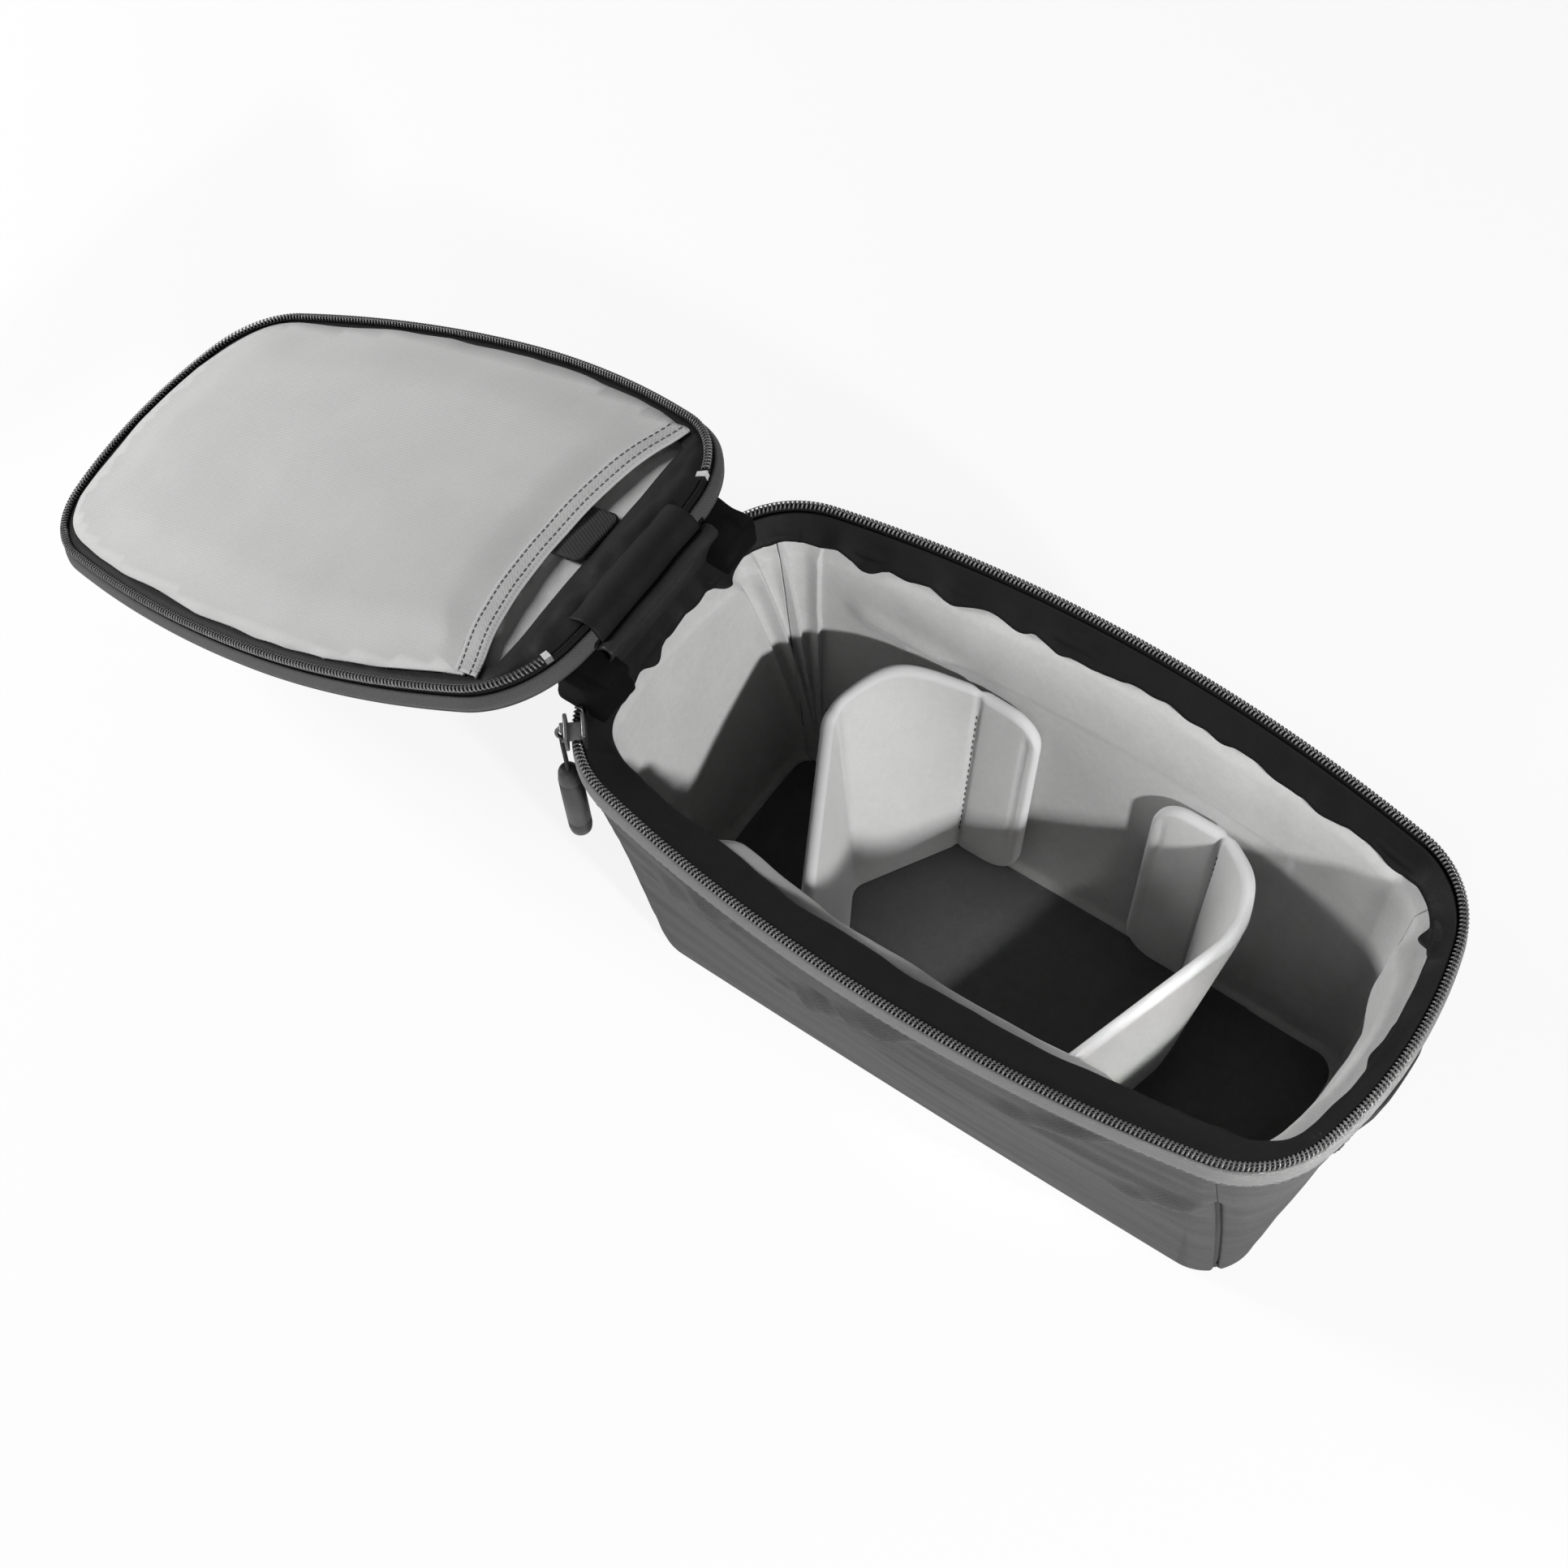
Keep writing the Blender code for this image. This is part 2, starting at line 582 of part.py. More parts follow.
def make_slider(parts):
    """The slider, which rides the corner arc, and its hanging pull."""
    corner_x = corner_centre(RIM_HINGE_HALF_LENGTH, RIM_CORNER_RADIUS, RIM_HINGE_BOW)
    corner_y = corner_centre(RIM_HALF_WIDTH, RIM_CORNER_RADIUS, RIM_SIDE_BOW)
    turn = make_empty("slider_frame", (-corner_x, -corner_y, RIM_HEIGHT), parts)
    turn.rotation_euler.z = math.pi + SLIDER_ANGLE
    near = CHAIN_THICKNESS / 2 + SLIDER_CLEARANCE
    far = near + SLIDER_PLATE
    bridge_low = (LID_CHAIN_GAP - SLIDER_BRIDGE) / 2
    bridge_high = bridge_low + SLIDER_BRIDGE
    top = LID_CHAIN_GAP + SLIDER_OVERLAP
    profile = [(-far, -SLIDER_OVERLAP), (-near, -SLIDER_OVERLAP), (-near, bridge_low),
               (near, bridge_low), (near, -SLIDER_OVERLAP), (far, -SLIDER_OVERLAP),
               (far, top), (near, top), (near, bridge_high), (-near, bridge_high),
               (-near, top), (-far, top)]
    sections = [[Vector((RIM_CORNER_RADIUS + out, side, height)) for out, height in profile]
                for side in (-SLIDER_LENGTH / 2, SLIDER_LENGTH / 2)]
    finish_mesh("zip_slider", sweep_solid(sections, False), parts, (0.1, 0.1, 0.1), 0.35, 0.9, turn)
    bail_x = RIM_CORNER_RADIUS + far + GAP + BAIL_OUT / 2
    bail = block_solid(Vector((bail_x, 0.0, LID_CHAIN_GAP / 2)),
                       Vector((BAIL_OUT, BAIL_SIZE, 2 * BAIL_SIZE)), BAIL_OUT / 4)
    finish_mesh("slider_bail", bail, parts, (0.1, 0.1, 0.1), 0.35, 0.9, turn)
    make_pull(parts, turn, bail_x, LID_CHAIN_GAP / 2 - BAIL_SIZE - PULL_PIVOT_DROP)


def make_pull(parts, turn, pivot_x, pivot_z):
    """The cord and the tube of the pull, hanging from their pivot."""
    swing = make_empty("pull_frame", (pivot_x, 0.0, pivot_z), parts, turn)
    cord_top = CORD_THICKNESS / 2
    size = Vector((CORD_THICKNESS, CORD_WIDTH, cord_top + CORD_LENGTH))
    centre = Vector((0.0, 0.0, cord_top - size.z / 2))
    finish_mesh("pull_cord", block_solid(centre, size, CORD_THICKNESS / 4), parts, (0.02, 0.02, 0.02),
                parent=swing)
    bm = bmesh.new()
    bmesh.ops.create_cone(bm, cap_ends=True, segments=TUBE_SIDES, radius1=TUBE_RADIUS,
                          radius2=TUBE_RADIUS, depth=TUBE_LENGTH)
    rims = [edge for edge in bm.edges if any(len(face.verts) > 4 for face in edge.link_faces)]
    bmesh.ops.bevel(bm, geom=rims, offset=TUBE_ROUND, segments=2, affect="EDGES")
    bmesh.ops.translate(bm, vec=(0.0, 0.0, -CORD_LENGTH - GAP - TUBE_LENGTH / 2), verts=bm.verts)
    finish_mesh("pull_tube", bm, parts, (0.02, 0.02, 0.02), 0.5, parent=swing)


# Dividers


def wall_y(x, inset, height):
    """Y of the tub's long wall at a place along it."""
    stations = np.linspace(END_STEPS, 2 * QUARTER - END_STEPS, 8 * QUARTER + 1)
    points = [wall_point(station, inset, height) for station in stations]
    return float(np.interp(x, [point.x for point in points][::-1], [point.y for point in points][::-1]))


def divider_route(wing_end, fold, bend, front, front_end, height):
    """The middle line of a divider in plan, from its back wing to its front wing."""
    inset = LINING_IN + DIVIDER_WALL_CLEARANCE + DIVIDER_THICKNESS / 2
    return [Vector((wing_end, wall_y(wing_end, inset, height))),
            Vector((fold, wall_y(fold, inset, height))),
            Vector(bend),
            Vector((front, -wall_y(front, inset, height))),
            Vector((front_end, -wall_y(front_end, inset, height)))]


def mitre(route, index):
    """Half the thickness across the route at one of its corners."""
    before = (route[index] - route[index - 1]).normalized() if index > 0 else None
    after = (route[index + 1] - route[index]).normalized() if index < len(route) - 1 else None
    before = before or after
    after = after or before
    normal = Vector((-(before + after).y, (before + after).x)).normalized()
    square = Vector((-after.y, after.x))
    return normal * (DIVIDER_THICKNESS / 2 / normal.dot(square))


def divider_section(low_route, high_route, index, towards, low, high):
    """A section at one corner of both routes, moved a little along the panel it belongs to."""
    section = []
    for route, height, signs in ((low_route, low, (1, -1)), (high_route, high, (-1, 1))):
        step = (route[towards] - route[index]).normalized() * (FOLD_GAP / 2)
        for sign in signs:
            place = route[index] + mitre(route, index) * sign + step
            section.append(Vector((place.x, place.y, height)))
    return section


def chamfered_wing(fold_section, end_section):
    """A wing's sections, with both corners of its free end cut off."""
    run = (end_section[0] - fold_section[0]).length
    share = 1 - WING_CHAMFER / run
    near = [a.lerp(b, share) for a, b in zip(fold_section, end_section)]
    height = end_section[2].z - end_section[1].z
    cut = WING_CHAMFER / height
    bottom_out, bottom_in, top_in, top_out = end_section
    end = [bottom_out.lerp(top_out, cut), bottom_in.lerp(top_in, cut),
           top_in.lerp(bottom_in, cut), top_out.lerp(bottom_out, cut)]
    return [fold_section, near, end]


def make_divider(parts, name, wing_end, fold, bend_low, bend_high, front, front_end):
    """Four padded panels folded round the space between two compartments."""
    low = FLOOR_TOP + GAP
    high = DIVIDER_TOP
    low_route = divider_route(wing_end, fold, bend_low, front, front_end, low)
    high_route = divider_route(wing_end, fold, bend_high, front, front_end, high)
    frame = make_empty(f"{name}_frame", (fold, 0.0, low), parts)
    for index, piece in enumerate(("back_wing", "rear_panel", "front_panel", "front_wing")):
        first = divider_section(low_route, high_route, index, index + 1, low, high)
        second = divider_section(low_route, high_route, index + 1, index, low, high)
        sections = [first, second]
        if piece == "back_wing":
            sections = chamfered_wing(second, first)
        if piece == "front_wing":
            sections = chamfered_wing(first, second)
        sections = [[point - frame.location for point in section] for section in sections]
        finish_mesh(f"{name}_{piece}", sweep_solid(sections, False), parts, (0.65, 0.65, 0.64),
                    parent=frame)


clear_scene()
insert = bpy.data.collections.new("camera_bag_insert")
bpy.context.scene.collection.children.link(insert)
make_walls(insert)
make_base(insert)
make_rim(insert)
make_grab_loop(insert)
make_hinge_fittings(insert)
lid_frame = make_empty("lid_frame", HINGE_POINT, insert)
lid_frame.rotation_euler.y = -HINGE_OPEN_ANGLE
make_lid(insert, lid_frame)
make_lid_chain(insert, lid_frame)
make_lid_border(insert, lid_frame)
make_pocket(insert, lid_frame)
make_lid_flap(insert, lid_frame)
make_slider(insert)
make_divider(insert, "left_divider", LEFT_WING_END_X, LEFT_FOLD_X, LEFT_BEND_BOTTOM, LEFT_BEND_TOP,
             LEFT_FRONT_X, LEFT_FRONT_END_X)
make_divider(insert, "right_divider", RIGHT_WING_END_X, RIGHT_FOLD_X, RIGHT_BEND_BOTTOM,
             RIGHT_BEND_TOP, RIGHT_FRONT_X, RIGHT_FRONT_END_X)
bpy.context.view_layer.update()
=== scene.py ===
"""The looks of a camera bag insert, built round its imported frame.

X runs along the tub with the lid's hinge at -X, Y runs to the back and Z is up. Lengths are in metres.
"""
import math

import bmesh
import bpy
import numpy as np
from mathutils import Matrix, Vector, noise
from mathutils.geometry import delaunay_2d_cdt


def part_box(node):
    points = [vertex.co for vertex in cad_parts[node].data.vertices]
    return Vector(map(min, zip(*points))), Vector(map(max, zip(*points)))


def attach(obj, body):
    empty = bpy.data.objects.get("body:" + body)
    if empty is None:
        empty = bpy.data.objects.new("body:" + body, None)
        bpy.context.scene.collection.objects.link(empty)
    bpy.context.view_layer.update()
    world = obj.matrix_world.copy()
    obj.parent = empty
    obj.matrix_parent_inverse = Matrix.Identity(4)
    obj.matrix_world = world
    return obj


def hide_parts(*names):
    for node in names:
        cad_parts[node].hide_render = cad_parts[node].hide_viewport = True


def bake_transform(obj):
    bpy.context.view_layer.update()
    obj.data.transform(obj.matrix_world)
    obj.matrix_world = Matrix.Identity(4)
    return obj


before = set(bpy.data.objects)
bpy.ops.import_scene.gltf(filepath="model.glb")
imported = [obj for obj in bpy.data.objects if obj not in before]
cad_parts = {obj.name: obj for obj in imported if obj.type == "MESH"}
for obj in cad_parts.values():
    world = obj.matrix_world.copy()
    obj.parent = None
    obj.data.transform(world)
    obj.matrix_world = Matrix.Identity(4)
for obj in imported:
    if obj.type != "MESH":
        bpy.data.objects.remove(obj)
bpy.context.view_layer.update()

# Camera
# A long lens looks down on the insert from its front and free end, so that the lid lies to the left.
# The picture is rolled a little.
MM = 0.001
LENS_MM = 69.79
SENSOR_MM = 36.0
VIEW_AZIMUTH = math.radians(40.75)
VIEW_ELEVATION = math.radians(60.44)
VIEW_ROLL = math.radians(-6.14)
VIEW_TARGET = Vector((-81.0, -13.9, 100.0)) * MM
VIEW_DISTANCE = 1046.0 * MM

view_back = Vector((math.sin(VIEW_AZIMUTH) * math.cos(VIEW_ELEVATION),
                    -math.cos(VIEW_AZIMUTH) * math.cos(VIEW_ELEVATION), math.sin(VIEW_ELEVATION)))
level_right = Vector((math.cos(VIEW_AZIMUTH), math.sin(VIEW_AZIMUTH), 0.0))
level_up = view_back.cross(level_right)
view_right = math.cos(VIEW_ROLL) * level_right + math.sin(VIEW_ROLL) * level_up
view_up = view_back.cross(view_right)
camera = bpy.data.objects.new("camera", bpy.data.cameras.new("camera"))
camera.data.lens = LENS_MM
camera.data.sensor_width = SENSOR_MM
turned = Matrix((view_right, view_up, view_back)).transposed().to_4x4()
camera.matrix_world = Matrix.Translation(VIEW_TARGET + view_back * VIEW_DISTANCE) @ turned
bpy.context.scene.collection.objects.link(camera)
bpy.context.scene.camera = camera
bpy.context.scene.view_settings.view_transform = "Standard"

# Floor, light and background
# A pale sweep lies under the insert, which looks plain white straight on and takes a faint shadow. Three
# lamps light the tub and the lid, and a narrow one the free end's compartment, in a dim surround.
FLOOR_SIZE = 6.0
FLOOR_DROP = 0.6 * MM
FLOOR_CELLS = 4
FLOOR_SHADOW_SHARE = 0.12
SURROUND_LIGHT = 0.035
WHITE = (1.0, 1.0, 1.0, 1.0)
MIDDLE = (0.0, 0.0, 0.1)
LAMP_WAY = 1.6
LAMPS = (("key_light", (0.82, -0.33, 0.47), LAMP_WAY, 0.09, 26.0, MIDDLE, 180),
         ("front_light", (0.22, -0.92, 0.20), LAMP_WAY, 0.16, 5.2, MIDDLE, 180),
         ("lid_light", (-0.88, -0.20, 0.40), LAMP_WAY, 0.40, 21.5, MIDDLE, 180),
         ("divider_light", (0.66, -0.12, 0.78), 0.6, 0.04, 0.026, (0.072, -0.018, 0.066), 12))


class Signal:
    """A number, colour or vector from a node's socket; sums with it add Math nodes."""

    def __init__(self, paint, socket):
        self.paint = paint
        self.socket = socket

    def maths(self, operation, *values):
        return self.paint.add("Math", {"operation": operation}, dict(enumerate(values)))

    def __add__(self, other):
        return self.maths("ADD", self, other)

    def __mul__(self, other):
        return self.maths("MULTIPLY", self, other)

    def __sub__(self, other):
        return self.maths("SUBTRACT", self, other)

    def __rsub__(self, other):
        return self.maths("SUBTRACT", other, self)

    __radd__ = __add__
    __rmul__ = __mul__

    def sine(self):
        return self.maths("SINE", self)




class Nodes:
    """A node tree, and the one method that adds a node to it."""

    def __init__(self, tree):
        self.tree = tree

    def add(self, kind, settings, values, output=0):
        node = self.tree.nodes.new("ShaderNode" + kind)
        for setting, value in settings.items():
            setattr(node, setting, value)
        for key, value in values.items():
            self.feed(node.inputs[key], value)
        return Signal(self, node.outputs[output])

    def feed(self, socket, value):
        if isinstance(value, Signal):
            self.tree.links.new(value.socket, socket)
        else:
            socket.default_value = value

    def show_straight(self, end, share, struck, seen):
        """One look where light strikes and, in a share, another where the camera, a mirror or glass sees."""
        camera_ray, glossy_ray, clear_ray = [self.add("LightPath", {}, {}, f"Is {kind} Ray")
                                             for kind in ("Camera", "Glossy", "Transmission")]
        direct = self.add("Math", {"operation": "MAXIMUM"}, {0: camera_ray, 1: glossy_ray})
        straight = self.add("Math", {"operation": "MAXIMUM"}, {0: direct, 1: clear_ray})
        shown = self.add("MixShader", {}, {0: straight * share, 1: struck, 2: seen})
        self.feed(self.tree.nodes[end].inputs["Surface"], shown)


class Paint(Nodes):
    """A material with one Principled shader; sums and products on its signals add the nodes they need."""

    def __init__(self, name, roughness, **constants):
        self.material = bpy.data.materials.new(name)
        self.material.use_nodes = True
        super().__init__(self.material.node_tree)
        self.shader = self.tree.nodes["Principled BSDF"]
        self.shader.inputs["Roughness"].default_value = roughness
        for socket, value in constants.items():
            self.shader.inputs[socket.replace("_", " ")].default_value = value

    def place(self, scale, follow_cloth=False):
        """Object or cloth coordinates times a scale for each axis."""
        source = self.add("UVMap", {}, {}) if follow_cloth else self.add("TexCoord", {}, {}, "Object")
        return self.add("VectorMath", {"operation": "MULTIPLY"}, {0: source, 1: scale})

    def axes(self, vector):
        """The three parts of a vector."""
        split = self.add("SeparateXYZ", {}, {0: vector}).socket.node
        return [Signal(self, socket) for socket in split.outputs]

    def cloud(self, scale, detail=2.0, follow_cloth=False):
        """Smooth noise from 0 to 1, with so many lumps to a metre along each axis."""
        return self.add("TexNoise", {}, {"Vector": self.place(scale, follow_cloth), "Scale": 1.0,
                                         "Detail": detail})

    def grain(self, scale, detail=2.0):
        """Noise that is as fine along every axis."""
        return self.cloud((scale, scale, scale), detail)

    def colour(self, share, first, second):
        blend = self.add("Mix", {"data_type": "RGBA"}, {0: share, 6: (*first, 1.0), 7: (*second, 1.0)}, 2)
        self.feed(self.shader.inputs["Base Color"], blend)

    def bump(self, height_mm):
        raised = self.add("Bump", {}, {"Strength": 1.0, "Distance": MM, "Height": height_mm})
        self.feed(self.shader.inputs["Normal"], raised)


def grey(level, warmth=0.0):
    """A linear grey, a little warm or cool."""
    return (level * (1 + warmth), level, level * (1 - warmth))


bpy.ops.mesh.primitive_grid_add(x_subdivisions=FLOOR_CELLS, y_subdivisions=FLOOR_CELLS, size=FLOOR_SIZE,
                                location=(0.0, 0.0, -FLOOR_DROP))
floor = bpy.context.object
floor.name = "floor"
floor_paint = Paint("floor_sweep", 0.9)
floor_paint.colour(floor_paint.grain(3.0), grey(0.80), grey(0.84))
floor_paint.show_straight("Material Output", 1 - FLOOR_SHADOW_SHARE,
                          Signal(floor_paint, floor_paint.shader.outputs[0]),
                          floor_paint.add("Emission", {}, {"Strength": 1.0}))
floor.data.materials.append(floor_paint.material)

world = bpy.data.worlds.new("surround")
bpy.context.scene.world = world
world.use_nodes = True
sky = Nodes(world.node_tree)
ambient = sky.tree.nodes["Background"]
ambient.inputs["Color"].default_value = WHITE
ambient.inputs["Strength"].default_value = SURROUND_LIGHT
sky.show_straight("World Output", 1.0, Signal(sky, ambient.outputs[0]),
                  sky.add("Background", {}, {"Color": WHITE, "Strength": 1.0}))

for name, direction, distance, width, watts, target, spread in LAMPS:
    lamp = bpy.data.lights.new(name, "AREA")
    lamp.size = width
    lamp.energy = watts
    lamp.spread = math.radians(spread)
    holder = bpy.data.objects.new(name, lamp)
    away = Vector(direction).normalized()
    holder.location = away * distance + Vector(target)
    holder.rotation_euler = away.to_track_quat("Z", "Y").to_euler()
    bpy.context.scene.collection.objects.link(holder)

# Outer panels
# Four panels of coated woven cloth over foam, sewn together at the corners. The lower part of each
# corner seam gapes a little over a near-black sheet, which is painted shade for the gap's dark inside.
# The front and back have diagonal pulls and long creases.
STEPS = 8
END_STEPS, CORNER_STEPS, SIDE_STEPS = 2, 6, 5
QUARTER = END_STEPS + CORNER_STEPS + SIDE_STEPS
RIM_HEIGHT = 142.0 * MM
RIM_CORNER_RADIUS = 37.0 * MM
RIM_FREE_HALF_LENGTH = 150.7 * MM
RIM_HINGE_HALF_LENGTH = 145.0 * MM
RIM_HALF_WIDTH = 79.2 * MM
RIM_SIDE_BOW = 11.4 * MM
RIM_FREE_BOW = 4.1 * MM
RIM_HINGE_BOW = 1.7 * MM
BASE_HALF_LENGTH = 125.5 * MM
BASE_HALF_WIDTH = 51.6 * MM
BASE_CORNER_RADIUS = 18.4 * MM
BASE_BOW = 0.6 * MM
LID_SETBACK = 17.0 * MM
FABRIC = 1.0 * MM
PANEL_TOP = 129.7 * MM
PANEL_ROWS = 57
FOOT_RADIUS = 3.0 * MM
FOOT_ROWS = 6
EDGE_STATIONS = np.array([0.0, 0.06, 0.12, 0.2, 0.3, 0.42])
MIDDLE_FROM_STATION = 0.6
COLUMNS_PER_STATION = 8
SEAM = END_STEPS + CORNER_STEPS / 2
SEAM_LEAN_STATIONS = 2.4
SEAM_FADE_STATIONS = 1.5
DART_HEIGHT = 98.0 * MM
DART_FADE = 4.0 * MM
DART_GAP_STATIONS = 0.18
DART_WIDTH_STATIONS = 0.30
DART_DEPTH = 0.9 * MM
DART_SHADE_INSET = 1.7 * MM
DART_SHADE_HALF_STATIONS = 0.85
DART_SHADE_LOW = 0.6 * MM
DART_SHADE_PAST = 3.0 * MM
DART_SHADE_WIDTH = 10.5 * MM
DART_SHADE = 0.3 * MM
CREASE = {"back": 2.2 * MM, "front": 2.2 * MM, "hinge_end": 0.9 * MM, "free_end": 0.9 * MM}
CREASE_SHARE_WITH_PULLS = 0.6
CREASE_FOOT = 18.0 * MM
CREASE_MIDDLE = 40.0 * MM
CREASE_RISE = 50.0 * MM
CREASE_HIGHEST = PANEL_TOP - 4.0 * MM
CREASE_BAND_FADE = 14.0 * MM
PULLS_MM = (((-100.0, 88.0), (-58.0, 120.0), 2.8), ((-40.0, 70.0), (12.0, 119.0), 4.2),
            ((38.0, 86.0), (86.0, 119.0), 3.2), ((84.0, 60.0), (122.0, 96.0), 2.4))
PULL_WIDTH = 6.0 * MM
PULL_WANDER = 5.0 * MM
PANELS = {"back": (SEAM, 2 * QUARTER - SEAM), "hinge_end": (2 * QUARTER - SEAM, 2 * QUARTER + SEAM),
          "front": (2 * QUARTER + SEAM, 4 * QUARTER - SEAM),
          "free_end": (4 * QUARTER - SEAM, 4 * QUARTER + SEAM)}


def arc_quarter(half_length, half_width, radius, end_bow, side_bow):
    """Points and outward directions from an end's middle to a side's middle."""
    corner_x = half_length - radius - end_bow
    corner_y = half_width - radius - side_bow
    side_reach = half_width - radius
    end_reach = half_length - radius
    square = corner_x ** 2 + corner_y ** 2
    side_centre = (square - side_reach ** 2) / (2 * (side_reach - corner_y))
    end_centre = (square - end_reach ** 2) / (2 * (end_reach - corner_x))
    first = math.atan2(corner_y, corner_x + end_centre)
    last = math.atan2(corner_y + side_centre, corner_x)
    arcs = [(0.0, first, END_STEPS, (-end_centre, 0.0), half_length + end_centre),
            (first, last, CORNER_STEPS, (corner_x, corner_y), radius),
            (last, math.pi / 2, SIDE_STEPS, (0.0, -side_centre), half_width + side_centre)]
    places = []
    outward = []
    for start, end, steps, centre, reach in arcs:
        angles = np.linspace(start, end, steps * STEPS + 1)[:-1]
        away = np.column_stack([np.cos(angles), np.sin(angles)])
        places.append(np.array(centre) + reach * away)
        outward.append(away)
    places.append(np.array([[0.0, half_width]]))
    outward.append(np.array([[0.0, 1.0]]))
    return np.vstack(places), np.vstack(outward)


def full_ring(free, hinge):
    """Both the points and the outward directions of a whole outline."""
    ring = []
    for near, far in zip(free, hinge):
        back = np.vstack([near, (far * (-1, 1))[::-1][1:]])
        front = (back * (1, -1))[::-1][1:-1]
        ring.append(np.vstack([back, front]))
    return ring


def rim_quarter(half_length, end_bow):
    """A quarter of the rim, or of the lid that closes on it."""
    return arc_quarter(half_length, RIM_HALF_WIDTH, RIM_CORNER_RADIUS, end_bow, RIM_SIDE_BOW)


free_quarter = rim_quarter(RIM_FREE_HALF_LENGTH, RIM_FREE_BOW)
base_quarter = arc_quarter(BASE_HALF_LENGTH, BASE_HALF_WIDTH, BASE_CORNER_RADIUS, BASE_BOW, BASE_BOW)
RIM_RING = full_ring(free_quarter, rim_quarter(RIM_HINGE_HALF_LENGTH, RIM_HINGE_BOW))
LID_RING = full_ring(free_quarter, rim_quarter(RIM_HINGE_HALF_LENGTH - LID_SETBACK, RIM_HINGE_BOW))
BASE_RING = full_ring(base_quarter, base_quarter)
WHOLE_RING = np.arange(4 * QUARTER * STEPS) / STEPS


def on_ring(ring, station):
    """Points and outward directions of an outline at stations, which may lie between its points."""
    index = np.asarray(station, float) * STEPS
    count = len(ring[0])
    low = np.floor(index).astype(int)
    share = (index - low)[..., None]
    return [part[low % count] * (1 - share) + part[(low + 1) % count] * share for part in ring]


def wall(station, inset, height):
    """Points of the tapering wall, moved in from its outline, at a height."""
    station, inset, height = np.broadcast_arrays(np.asarray(station, float), inset, height)
    share = np.clip(height / RIM_HEIGHT, 0.0, 1.0)[..., None]
    low, low_out = on_ring(BASE_RING, station)
    high, high_out = on_ring(RIM_RING, station)
    flat = (low - low_out * inset[..., None]) * (1 - share) + (high - high_out * inset[..., None]) * share
    return np.concatenate([flat, height[..., None]], axis=-1)


def eased(share):
    """A share from 0 to 1 with soft ends."""
    share = np.clip(share, 0.0, 1.0)
    return share * share * (3 - 2 * share)


def hump(distance, width):
    """1 at no distance, fading to nothing over a width."""
    return np.exp(-(np.asarray(distance) / width) ** 2)


def lumps(points, scale, seed=0.0):
    """Smooth noise about 0 at points, with so many lumps to a metre along each axis."""
    flat = np.asarray(points, float).reshape(-1, 3) * np.asarray(scale, float) + seed
    values = np.array([noise.noise(Vector(point)) for point in flat])
    return values.reshape(np.asarray(points).shape[:-1])


def run(line):
    """Lengths along a line from its start to each of its points."""
    return np.concatenate([[0.0], np.cumsum(np.linalg.norm(np.diff(line, axis=0), axis=1))])


def mesh_piece(name, points, faces, cloth_places=None):
    """A new piece from points and faces, with a cloth map in metres if the points have one."""
    mesh = bpy.data.meshes.new(name)
    mesh.from_pydata([tuple(point) for point in points], [], [tuple(face) for face in faces])
    if cloth_places is not None:
        layer = mesh.uv_layers.new(name="cloth")
        corners = np.zeros(len(mesh.loops), int)
        mesh.loops.foreach_get("vertex_index", corners)
        layer.data.foreach_set("uv", np.asarray(cloth_places, float)[corners].ravel())
    piece = bpy.data.objects.new(name, mesh)
    bpy.context.scene.collection.objects.link(piece)
    return piece


def cloth_strip(name, rows, closed=False, rounded=False):
    """A sheet through rows of points; its cloth map follows the rows and the columns in metres.

    A closed strip's columns meet in a ring, and a rounded strip's last row meets its first.
    """
    rows = np.asarray(rows, float)
    count, width = rows.shape[:2]
    ring = np.concatenate([rows, rows[:, :1]], axis=1) if closed else rows
    ring = np.concatenate([ring, ring[:1]]) if rounded else ring
    along = run(ring[count // 2])
    across = run(ring[:, ring.shape[1] // 2])
    faces = []
    places = []
    for row in range(len(ring) - 1):
        above = (row + 1) % count
        for column in range(ring.shape[1] - 1):
            after = (column + 1) % width
            faces.append((row * width + column, row * width + after,
                          above * width + after, above * width + column))
            places += [(along[column], across[row]), (along[column + 1], across[row]),
                       (along[column + 1], across[row + 1]), (along[column], across[row + 1])]
    piece = mesh_piece(name, rows.reshape(-1, 3), faces)
    layer = piece.data.uv_layers.new(name="cloth")
    layer.data.foreach_set("uv", np.array(places).ravel())
    return piece


def apply_modifiers(piece):
    """Make a piece's modifiers part of its mesh."""
    bpy.ops.object.select_all(action="DESELECT")
    piece.select_set(True)
    bpy.context.view_layer.objects.active = piece
    for modifier in list(piece.modifiers):
        bpy.ops.object.modifier_apply(modifier=modifier.name)


def thicken(piece, thickness):
    """Give a sheet its thickness, behind its visible face."""
    solid = piece.modifiers.new("thickness", "SOLIDIFY")
    solid.thickness = thickness
    solid.offset = -1.0
    apply_modifiers(piece)


def finish(piece, paint, body, slot, *nodes):
    """Give a piece its finish and its body, if one alone carries it; it stands for its solids."""
    piece.data.materials.append(paint.material)
    piece.data.shade_smooth()
    if body:
        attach(piece, body)
    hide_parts(*nodes)
    return piece


def cloth(piece, thickness, look, nodes, flat, rests_on, held="stretched", **more):
    """A finished sheet of a thickness, with its look as paint and body. The slot in its look is not used. Its
    flat size is not used.
    """
    if thickness:
        thicken(piece, thickness)
    finish(piece, *look, *nodes)
    return piece


